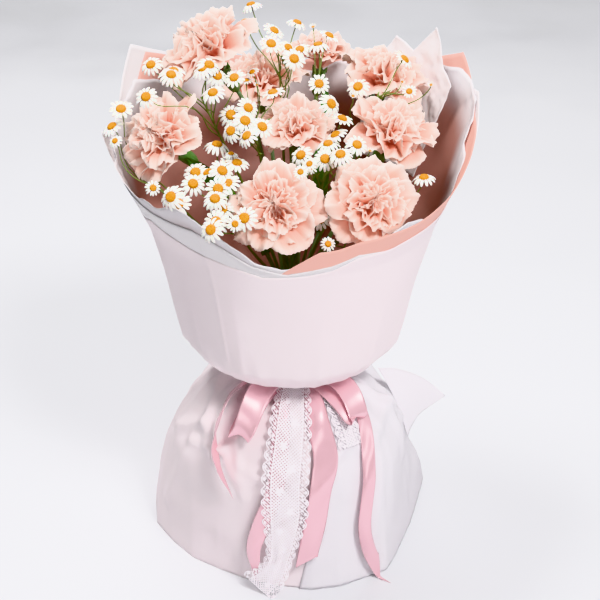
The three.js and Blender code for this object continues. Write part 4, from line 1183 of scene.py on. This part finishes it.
def foot_point(azimuth, way, lift):
    """A point over the foot at a lift from the pink sheet's middle."""
    radius, height, out, up = foot_curve(way)
    oval = FOOT_OVAL * np.interp(height, [0, 176, 184], [1, 0.3, 0])
    factor = 1 + oval * np.cos(2 * np.radians(azimuth))
    return polar(radius * factor + lift * out, azimuth, height + lift * up)


# The hem's outline on the floor at its corners, as [azimuth, radius], with flat panels between.
HEM = [(19, 148), (58, 138), (97, 131), (138, 136), (178, 141), (191, 139.5), (205, 130), (219, 125.5),
       (233, 121), (247, 120), (264, 121.5), (278, 126), (291, 128), (302, 129), (313, 133), (346, 122)]
# Folds that fan out from the waist, as (azimuth, height, width); the sheet is creased along them.
FOOT_FOLDS = [(112, 2.6, 9), (139, 3.4, 12), (163, 3.0, 9), (178, 3.2, 10), (199, 3.6, 9),
              (216, 2.2, 7), (322, 2.6, 8), (337, 2.2, 8), (356, 3.0, 9), (374, 3.6, 11),
              (399, 3.2, 10), (428, 3.4, 12), (452, 3.0, 10)]
# Where the paper falls straight from the shoulder to the hem: place, way down, depth, spread, reach.
FOOT_HOLLOWS = [(17, 158, 13, 34, 55), (170, 125, 7, 26, 42), (345, 150, 4, 16, 50)]

# Creases between the folds, as two ends (azimuth, way), height and width; a degree round the foot
# counts as so many millimetres there, and the heights are raised by a factor.
DEGREE_LENGTH = 1.95
CREASE_FACTOR = 2.1
FOOT_CREASES = [((185, 128), (183, 84), 1.6, 8), ((194, 124), (219, 92), 1.8, 9),
                ((207, 62), (228, 122), 1.7, 9), ((233, 110), (245, 88), 1.3, 7),
                ((233, 110), (243, 134), 1.3, 7), ((242, 118), (254, 128), 1.0, 7),
                ((219, 92), (233, 110), 1.6, 8), ((310, 88), (291, 110), 1.5, 9),
                ((349, 80), (308, 108), 2.0, 11), ((316, 108), (305, 226), 1.5, 10),
                ((291, 108), (294, 152), 1.0, 8), ((338, 80), (341, 150), 1.6, 10),
                ((200, 205), (213, 118), 1.5, 12), ((240, 90), (247, 150), 1.1, 8),
                ((205, 60), (196, 30), 1.4, 8), ((330, 40), (338, 84), 1.5, 8),
                ((213, 118), (233, 110), 1.2, 8), ((352, 120), (338, 84), 1.6, 9)]

# The edges that the two sheets begin at, as (way, azimuth); the white one's is free, under a tail
# of the bow.
PINK_EDGE = [(0, 108), (250, 108)]
WHITE_EDGE = [(0, 287), (106, 286), (136, 283), (170, 280), (211, 276.5), (250, 273)]
# Upper and lower edge of the loose corner, from the foot outwards.
FLAP_UPPER = [(84, 4, 168), (103, 8, 165), (130, 11, 152), (153, 11, 131)]
FLAP_LOWER = [(115, -16, 100), (119, -12, 110), (128, -5, 121), (151, 9, 130)]
# The tuck under the shoulder at the foot's sides: way down, spread and depth, and by how much it
# is deeper at one azimuth. The front stays low, because the ribbons lie on it.
TUCK = dict(way=72, spread=34, depth=18, deeper=7, azimuth=30)
TUCK_FREE = ((200, 235), (305, 340))
FOOT_FRONT = ((222, 232), (308, 320))


def hem_share(azimuth):
    """The hem's radius with flat panels between its corners, against the round foot's."""
    places, radii = np.array(HEM, float).T
    places = np.append(places, places[0] + 360)
    radii = np.append(radii, radii[0])
    turned = (azimuth - places[0]) % 360 + places[0]
    k = np.clip(np.searchsorted(places, turned, side="right") - 1, 0, len(places) - 2)
    first, second = np.radians(turned - places[k]), np.radians(places[k + 1] - turned)
    radius = radii[k] * radii[k + 1] * np.sin(first + second) / (
        radii[k] * np.sin(first) + radii[k + 1] * np.sin(second))
    return radius / (FOOT[-1][0] * (1 + FOOT_OVAL * np.cos(2 * np.radians(azimuth))))


def foot_relief(azimuth, way):
    """Relief of the foot: folds and gathers from the waist, the tuck and the hollows, all kept low
    at the front, and the creases over them."""
    angle = np.radians(azimuth)
    relief = np.zeros_like(azimuth)
    for place, height, width in FOOT_FOLDS:
        off = np.abs((azimuth - place + 180) % 360 - 180)
        spread = width * (0.5 + way / 140)
        ridge = np.maximum(0, 1 - off / spread)
        relief += height * ridge**1.3 * smoothstep(4, 45, way) * (1 - 0.6 * smoothstep(70, 200, way))
    gathers = np.sin(31 * angle) * 0.5 + np.sin(47 * angle + 1) * 0.4
    relief += 0.9 * gathers * between(way, (2, 14), (25, 75))
    tuck = np.exp(-((way - TUCK["way"]) / TUCK["spread"])**2) * (0.75 + 0.35 * np.sin(5 * angle))
    depth = TUCK["depth"] + TUCK["deeper"] * np.cos(np.radians(azimuth - TUCK["azimuth"]))
    relief -= depth * (1 - between(azimuth, *TUCK_FREE)) * tuck
    for place, way_down, depth, spread, reach in FOOT_HOLLOWS:
        off = (azimuth - place + 180) % 360 - 180
        relief -= depth * np.exp(-((way - way_down) / reach)**2 - (off / spread)**2)
    front = between(azimuth, *FOOT_FRONT)
    relief = relief * (1 - 0.88 * front) - 0.8 * front
    scale = (DEGREE_LENGTH, 1)
    place = np.column_stack([azimuth, way]) * scale
    for first, second, height, width in FOOT_CREASES:
        start, end = np.array(first) * scale, np.array(second) * scale
        share = np.clip((place - start) @ (end - start) / np.sum((end - start)**2), 0, 1)
        off = np.linalg.norm(place - start - share[:, None] * (end - start), axis=1)
        relief += CREASE_FACTOR * height * np.maximum(0, 1 - off / width)**1.2
    return relief


def skirt_piece(name, edge, last, lap, thickness, seed):
    """Half of the paper foot, from an edge given as (way, azimuth) to the last azimuth."""
    piece, places = new_grid(name, 150, 70)
    way = -FOOT_TUCK + (FOOT_LENGTH + FOOT_TUCK) * places[:, 1]
    first = np.interp(way, *zip(*edge))
    azimuth = first + (last - first) * places[:, 0]
    relief = foot_relief(azimuth % 360, np.maximum(way, 0))
    on_wall = polar(WALL, azimuth, 2.0 * way)
    relief = relief + 0.8 * soft_field(on_wall, 46, seed) * smoothstep(10, 60, way)
    points = foot_point(azimuth, np.maximum(way, 0), lap + relief)
    # On its way down the paper comes to the hem's own outline.
    spread = 1 + (hem_share(azimuth) - 1) * smoothstep(60, FOOT_LENGTH, way)**1.4
    points[:, :2] *= spread[:, None]
    points[:, 2] += np.where(way < 0, -way, 0)
    hem = places[:, 1] > 0.999
    points[:, 2] = np.where(hem, thickness / MM / 2, np.maximum(points[:, 2], FLOOR_ROOM))
    set_points(piece, points)
    thicken(piece, thickness)
    return piece


def flap_piece(thickness):
    """The corner of the white sheet that stands out at the right, curled down at its tip."""
    columns = 25
    piece, places = new_grid("paper_flap", columns, 14)
    u, v = places[:, 0], places[:, 1]
    run = np.linspace(0, 1, columns + 1)
    upper, lower = (points_at(u, run, through(edge, columns + 1)) for edge in (FLAP_UPPER, FLAP_LOWER))
    points = upper * (1 - v)[:, None] + lower * v[:, None]
    points += np.outer(5 * np.sin(np.pi * v) * (1 - u), (0.5, -0.6, 0.6))
    set_points(piece, points)
    thicken(piece, thickness)
    return piece


# ------------------------------------------------------------------ ribbons and lace


def run_frame(stations, count):
    """Middle line, across direction, normal and width of a ribbon, at even steps."""
    fine = through(stations, count)
    lift = fine[:, 2] + FOOT_LAP + RIBBON_SEAT
    middle = foot_point(fine[:, 0], fine[:, 1], lift)
    direction = unit(np.gradient(middle, axis=0))
    tangent = polar(1, fine[:, 0] - 90, 0)
    across = unit(tangent - direction * np.sum(tangent * direction, axis=1)[:, None])
    normal = np.cross(across, direction)
    turn = np.radians(fine[:, 4])[:, None]
    turned_across = across * np.cos(turn) - normal * np.sin(turn)
    turned_normal = normal * np.cos(turn) + across * np.sin(turn)
    return middle, turned_across, turned_normal, fine[:, 3]


def lay_on_floor(points):
    """Bends what would reach under the floor outwards, so that it lies on it."""
    under = np.maximum(0, RIBBON_FLOOR - points[:, 2])
    out = unit(points[:, :2])
    return np.column_stack([points[:, :2] + out * under[:, None], points[:, 2] + under])


def cut_size(stations):
    """Flat width and length of a ribbon in metres."""
    middle, across, normal, width = run_frame(stations, 200)
    return float(np.mean(width)) * MM, float(np.sum(np.linalg.norm(np.diff(middle, axis=0), axis=1))) * MM


def ribbon_piece(name, stations, thickness, cup, wave, slant=0.0):
    """A satin strip along its stations: cupped across, gently waved, and cut on the slant. The waves
    begin at another place for each length of name."""
    count = 90
    middle, across, normal, width = run_frame(stations, count)
    piece, places = new_grid(name, count - 1, 12)
    i = np.rint(places[:, 0] * (count - 1)).astype(int)
    v = 2 * places[:, 1] - 1
    s = places[:, 0]
    rolls = 1 + np.sin(11 * s + 1.6 * v + len(name)) + 0.5 * np.sin(25 * s - 2.2 * v)
    lift = cup * (1 - v**2) + wave * rolls * smoothstep(0, 0.2, s)
    along = np.gradient(middle, axis=0)[i] * (slant * v * smoothstep(0.9, 1, s))[:, None]
    points = middle[i] + across[i] * (v * width[i] / 2)[:, None] + normal[i] * lift[:, None] + along
    set_points(piece, lay_on_floor(points))
    thicken(piece, thickness)
    return piece


# The lace's pattern: scallops with cord along them, a border of flowers, and a diagonal net with
# spots at either side in turn. Threads are shares of the mesh.
SCALLOP_DEPTH = 3.4
CORD_WIDTH = 1.0
BORDER_WIDTH = 9.5
FLOWER_INSET = 6.2
DIAGONAL = 0.7071
NET_THREAD = 0.23
BORDER_THREAD = 0.13
SPOT_STEP = 21
SPOT_OFFSET = 4.5


def lace_holds(across, along, half, mesh, scallop):
    """Whether the lace has thread at a place."""
    edge = half - SCALLOP_DEPTH * (1 - np.abs(np.sin(along / scallop * np.pi)))
    cord = (edge - np.abs(across)) < CORD_WIDTH
    ground = half - BORDER_WIDTH
    a, b = (across + along) / mesh * DIAGONAL, (across - along) / mesh * DIAGONAL
    first, second = np.abs(a - np.rint(a)), np.abs(b - np.rint(b))
    net = (first < NET_THREAD) | (second < NET_THREAD)
    x = (along / scallop) % 1 * scallop - scallop / 2
    y = np.abs(across) - (half - FLOWER_INSET)
    reach, angle = np.hypot(x, y), np.arctan2(y, x)
    flower = (reach < 3.9 + 0.9 * np.cos(4 * angle)) & (reach > 1.0)
    veins = np.abs(np.sin(2 * angle)) < 0.3
    border = cord | (flower & (veins | (reach > 2.9))) | (first < BORDER_THREAD)
    stripe = np.abs(np.abs(across) - ground) < 0.6
    x = along % SPOT_STEP - SPOT_STEP / 2
    y = across - SPOT_OFFSET * np.sign(np.sin(along / SPOT_STEP * np.pi))
    spot = (np.hypot(x, y) < 3.4 + 1.1 * np.cos(5 * np.arctan2(y, x))) & (np.abs(across) < ground - 2)
    filled = np.where(np.abs(across) > ground, border, net)
    return (np.abs(across) <= edge) & (filled | stripe | cord | spot)


LACE_STEP = 0.55  # of the grid that the holes are cut from
LACE_CUP = 0.8
LACE_GATHER = 5.2  # depth of the folds where the lace is drawn together


def lace_piece(name, stations, sizes):
    """A strip of lace whose holes are cut out of a fine grid."""
    coarse = run_frame(stations, 200)
    run = run_along(coarse[0])
    half = max(station[3] for station in stations) / 2
    piece, places = new_grid(name, int(run[-1] / LACE_STEP), int(2 * half / LACE_STEP))
    along = places[:, 0] * run[-1]
    across = (places[:, 1] - 0.5) * 2 * half
    middle, side, normal = (points_at(along, run, line) for line in coarse[:3])
    squeeze = np.minimum(np.interp(along, run, coarse[3]) / (2 * half), 1)
    v = across / half
    gather = 1 - squeeze
    folds = LACE_GATHER * gather * 0.5 * np.sin(v * 9.5 + along / 30) * np.minimum(1, 0.25 + 2 * gather)
    lift = LACE_CUP * (1 - v**2) + folds
    points = lay_on_floor(middle + side * (across * squeeze)[:, None] + normal * lift[:, None])
    set_points(piece, points)
    corners = np.array([tuple(face.vertices) for face in piece.data.polygons])
    centre_across = across[corners].mean(1)
    centre_along = along[corners].mean(1)
    keep = lace_holds(centre_across, centre_along, half, sizes.mesh / MM, sizes.scallop / MM)
    cuttings = Cuttings()
    uv = np.column_stack([across / (2 * half) + 0.5, along / (2 * half)])
    used = np.unique(corners[keep])
    index = np.full(len(points), -1)
    index[used] = np.arange(len(used))
    cuttings.add(points[used], index[corners[keep]], 0, uv[used])
    mesh = cuttings.mesh(name)
    bpy.data.objects.remove(piece)
    piece = place_mesh(name, mesh)
    thicken(piece, sizes.lace)
    return piece


def waist_ring(name, radius, low, high, thickness, wave):
    """A satin band round the waist with small folds."""
    piece, places = new_grid(name, 160, 8)
    azimuth = places[:, 0] * 360
    height = low + (high - low) * places[:, 1]
    folds = wave * np.sin(places[:, 1] * 3 * np.pi) * (0.6 + 0.4 * np.sin(np.radians(3 * azimuth)))
    set_points(piece, polar(radius + folds, azimuth, height))
    close_seam(piece)
    thicken(piece, thickness)
    return piece


# ------------------------------------------------------------------ operators


class BUNCH_OT_blooms(bpy.types.Operator):
    """Nine carnation blooms, each of ruffled, toothed petals in rows"""

    bl_idname = "bunch.blooms"
    bl_label = "Blooms"

    def execute(self, context):
        sizes, colours = context.scene.flower_sizes, context.scene.bunch_colours
        material = named("fresh_carnation_petal", petal_material, colours)
        flat, faces = flat_petal(sizes.petal / MM)
        for i, bloom in enumerate(CARNATIONS):
            piece = place_mesh(f"carnation_petals_{i + 1}", bloom_mesh(bloom, i, flat, faces))
            finish_piece(piece, [f"carnation_bloom_{i + 1}"], "petal", material)
        return {"FINISHED"}


class BUNCH_OT_stems(bpy.types.Operator):
    """Nine carnation stems with their calyxes and leaves"""

    bl_idname = "bunch.stems"
    bl_label = "Stems"

    def execute(self, context):
        colours = context.scene.bunch_colours
        stem = named("carnation_stem_skin", green_material, colours.stem, darker(colours.stem, 0.72),
                     roughness=0.55, grain=90.0)
        calyx = named("carnation_calyx_skin", green_material, colours.stem, darker(colours.leaf, 0.9),
                      roughness=0.5, grain=160.0)
        leaf = named("leaf_blade", green_material, colours.leaf, darker(colours.leaf, 0.6),
                     roughness=0.5, grain=60.0)
        for i, bloom in enumerate(CARNATIONS):
            piece = place_mesh(f"carnation_stalk_{i + 1}", stem_mesh(bloom, i))
            finish_piece(piece, [f"carnation_stem_{i + 1}"], "stem", stem, calyx, leaf)
        return {"FINISHED"}


class BUNCH_OT_sprays(bpy.types.Operator):
    """Sprays of chamomile with white rays and golden discs on thin pedicels"""

    bl_idname = "bunch.sprays"
    bl_label = "Sprays"

    def execute(self, context):
        sizes, colours = context.scene.flower_sizes, context.scene.bunch_colours
        ray = named("chamomile_ray", ray_material, colours)
        disc = named("chamomile_disc", disc_material, colours)
        green = named("chamomile_green", green_material, colours.pedicel, darker(colours.pedicel, 0.6),
                      roughness=0.55, grain=120.0)
        thickness = sizes.ray / MM / FLOWER_RADII["heads"]
        drooping = [flower_pattern(sizes.rays + k % 2, thickness, 0.05 + 0.12 * k, 40 + k) for k in range(4)]
        patterns = {"open": drooping, "bud": flower_pattern(10, 0.06, -0.55, 60)}
        for i, spray in enumerate(SPRAYS):
            mesh = spray_mesh(spray, i, patterns, sizes.pedicel / MM)
            piece = place_mesh(f"chamomile_flowers_{i + 1}", mesh)
            finish_piece(piece, [f"chamomile_spray_{i + 1}"], "chamomile", ray, disc, green)
        return {"FINISHED"}


class BUNCH_OT_tie(bpy.types.Operator):
    """Turns of twine round the stems"""

    bl_idname = "bunch.tie"
    bl_label = "Twine"

    def execute(self, context):
        colours = context.scene.bunch_colours
        turns = TWINE["turns"]
        s = np.linspace(0, 1, turns * 40)
        line = polar(TWINE["ring"], 360 * turns * s, TWINE["low"] + TWINE["rise"] * s)
        cuttings = Cuttings()
        add_tube(cuttings, line, TWINE["radius"] + TWINE["strand"] * np.sin(s * turns * 80))
        piece = place_mesh("twine_turns", cuttings.mesh("twine_turns"))
        twine = named("jute_twine", thread_material, colours.twine, grain=900.0)
        finish_piece(piece, ["stem_tie"], "twine", twine)
        return {"FINISHED"}


class BUNCH_OT_papers(bpy.types.Operator):
    """Tissue, peach paper, frosted film and the outer sheet round the flowers"""

    bl_idname = "bunch.papers"
    bl_label = "Wrap"

    def execute(self, context):
        sizes, colours = context.scene.wrap_sizes, context.scene.bunch_colours
        # The tissue's and the film's darker colours are painted shade; the tissue's also stands for the
        # peach sheet showing through.
        tissue = named("crumpled_tissue", paper_material, colours.tissue, darker(colours.tissue, 0.86),
                       roughness=0.6, alpha=0.92, lining=tuple(colours.lining))
        peach = named("peach_paper", paper_material, colours.peach, darker(colours.peach, 0.9))
        film = named("frosted_film", paper_material, colours.film, darker(colours.film, 0.94),
                     roughness=0.3, alpha=0.8, relief=0.05, lining=darker(colours.film, 0.9))
        outer = named("outer_paper", paper_material, colours.outer, darker(colours.outer, 0.96))
        creased = paper_relief(8.3, 1.3 * sizes.crumple / MM, [OUTER, FILM, PEACH])
        # The depths 42 and 5 place the painted shade: full from 42 mm under the tissue's rim, and within 5
        # mm of the film's rim.
        sheets = [
            ("tissue", dict(TISSUE, ragged=4.5), creased, 42, tissue),
            ("peach", dict(PEACH, ragged=1), paper_relief(5.7), None, peach),
            ("film", dict(FILM, ragged=0.8), paper_relief(2.85), 5, film),
            ("outer", dict(OUTER, ragged=0.6), paper_relief(0), None, outer),
        ]
        for name, sheet, shape, lining, material in sheets:
            piece = wrap_piece(f"{name}_sheet", sheet, 360, 60, shape, sizes.paper, lining)
            finish_piece(piece, [f"wrap_{name}"], name, material)
        clear = named("clear_tissue", paper_material, colours.film, darker(colours.film, 0.95),
                      roughness=0.4, alpha=0.8)
        corner = corner_piece(sizes.paper, sizes.crumple / MM)
        finish_piece(corner, ["wrap_crumpled"], "tissue", clear)
        return {"FINISHED"}


class BUNCH_OT_foot(bpy.types.Operator):
    """The flared paper foot in pink and white, with its loose corner"""

    bl_idname = "bunch.foot"
    bl_label = "Foot"

    def execute(self, context):
        sizes, colours = context.scene.wrap_sizes, context.scene.bunch_colours
        outer = named("outer_paper", paper_material, colours.outer, darker(colours.outer, 0.96))
        # The white paper's grey is painted shade for the foot's right side.
        white = named("white_paper", paper_material, colours.white, darker(colours.white, 0.96))
        left = skirt_piece("pink_foot", PINK_EDGE, 306, 0, sizes.paper, 5.0)
        finish_piece(left, ["skirt_left"], "outer", outer)
        right = skirt_piece("white_foot", WHITE_EDGE, 486, FOOT_LAP, sizes.paper, 6.0)
        finish_piece(right, ["skirt_right"], "white", white)
        flap = finish_piece(flap_piece(sizes.paper), [], "white", white)
        return {"FINISHED"}


class BUNCH_OT_bow(bpy.types.Operator):
    """The satin band, the loops of the bow and its tails"""

    bl_idname = "bunch.bow"
    bl_label = "Bow"

    def execute(self, context):
        sizes, colours = context.scene.wrap_sizes, context.scene.bunch_colours
        satin = named("rose_satin_ribbon", satin_material, colours)
        band = waist_ring("satin_band", 22.2, 186.4, 192.8, sizes.satin, 0.15)
        finish_piece(band, ["ribbon_band"], "satin", satin)
        for name, stations in SATIN_RUNS.items():
            loop = "loop" in name
            shape = (1.8, 0.7, 0.0) if loop else (1.5, 1.2, 9.0)
            piece = ribbon_piece(f"satin_{name[7:]}", stations, sizes.satin, *shape)
            finish_piece(piece, [name], "satin", satin)
            cut_size(stations)
        knot = ribbon_piece("satin_knot", SATIN_KNOT, sizes.satin, 0.4, 0.15)
        finish_piece(knot, ["ribbon_knot"], "satin", satin)
        return {"FINISHED"}


class BUNCH_OT_lace(bpy.types.Operator):
    """The lace ribbon: its knot, its long tail and its short end"""

    bl_idname = "bunch.lace"
    bl_label = "Lace"

    def execute(self, context):
        sizes, colours = context.scene.wrap_sizes, context.scene.bunch_colours
        thread = named("cotton_lace", thread_material, colours.lace, grain=700.0)
        for name, stations in LACE_RUNS.items():
            piece = finish_piece(lace_piece(f"cotton_{name}", stations, sizes), [name], "lace", thread)
            width, reach = cut_size(stations)
        return {"FINISHED"}


class BUNCH_OT_stage(bpy.types.Operator):
    """Plain floor, soft lights and the camera of the photograph"""

    bl_idname = "bunch.stage"
    bl_label = "Stage"

    def execute(self, context):
        scene, colours = context.scene, context.scene.bunch_colours
        bpy.ops.object.select_all(action="DESELECT")
        bpy.ops.mesh.primitive_plane_add(size=14)
        floor = context.object
        floor.name = "floor"
        material, surface = new_material("pale_floor", Base_Color=rgba(colours.floor))
        link(material, object_noise(material, 3.0).outputs["Fac"], surface.inputs["Roughness"])
        floor.data.materials.append(material)
        world = bpy.data.worlds.new("studio")
        world.use_nodes = True
        background = world.node_tree.nodes["Background"]
        background.inputs["Color"].default_value = rgba(linear("#f6f5f5"))
        background.inputs["Strength"].default_value = WORLD_STRENGTH
        scene.world = world
        scene.view_settings.view_transform = "Khronos PBR Neutral"
        for name, place, size, power in LIGHTS:
            light = bpy.data.lights.new(name, "AREA")
            light.size = size
            light.energy = power
            lamp = bpy.data.objects.new(name, light)
            scene.collection.objects.link(lamp)
            lamp.location = place
            aim = Vector(LIT_POINT) - Vector(place)
            lamp.rotation_euler = aim.to_track_quat("-Z", "Y").to_euler()
        data = bpy.data.cameras.new("camera")
        data.sensor_fit = "HORIZONTAL"
        data.sensor_width = SENSOR
        data.lens = SENSOR * VIEW["focal"] / VIEW["width"]
        data.shift_x = (VIEW["middle"] - VIEW["axis"]) / VIEW["width"]
        data.clip_start = 0.05
        camera = bpy.data.objects.new("camera", data)
        scene.collection.objects.link(camera)
        camera.location = (0, -VIEW["distance"] * MM, VIEW["height"] * MM)
        camera.rotation_euler = (math.radians(90 - VIEW["pitch"]), 0, 0)
        scene.camera = camera
        return {"FINISHED"}


class BUNCH_PT_pieces(bpy.types.Panel):
    """The pieces of the bunch, with their sizes and colours"""

    bl_idname = "BUNCH_PT_pieces"
    bl_label = "Bunch of carnations"
    bl_space_type = "VIEW_3D"
    bl_region_type = "UI"
    bl_category = "Flowers"

    def draw(self, context):
        for group in (context.scene.flower_sizes, context.scene.wrap_sizes, context.scene.bunch_colours):
            box = self.layout.box()
            for name in group.__annotations__:
                box.prop(group, name)
        for operator in OPERATORS:
            self.layout.operator(operator.bl_idname)


GROUPS = (FlowerSizes, WrapSizes, BunchColours)
OPERATORS = (BUNCH_OT_stage, BUNCH_OT_blooms, BUNCH_OT_stems, BUNCH_OT_sprays, BUNCH_OT_tie, BUNCH_OT_papers,
             BUNCH_OT_foot, BUNCH_OT_bow, BUNCH_OT_lace)


def register():
    for kind in (*GROUPS, *OPERATORS, BUNCH_PT_pieces):
        bpy.utils.register_class(kind)
    bpy.types.Scene.flower_sizes = PointerProperty(type=FlowerSizes)
    bpy.types.Scene.wrap_sizes = PointerProperty(type=WrapSizes)
    bpy.types.Scene.bunch_colours = PointerProperty(type=BunchColours)


def unregister():
    del bpy.types.Scene.bunch_colours
    del bpy.types.Scene.wrap_sizes
    del bpy.types.Scene.flower_sizes
    for kind in reversed((*GROUPS, *OPERATORS, BUNCH_PT_pieces)):
        bpy.utils.unregister_class(kind)


def main():
    register()
    bpy.ops.bunch.stage()
    bpy.ops.bunch.blooms()
    bpy.ops.bunch.stems()
    bpy.ops.bunch.sprays()
    bpy.ops.bunch.tie()
    bpy.ops.bunch.papers()
    bpy.ops.bunch.foot()
    bpy.ops.bunch.bow()
    bpy.ops.bunch.lace()


if __name__ == "__main__":
    main()
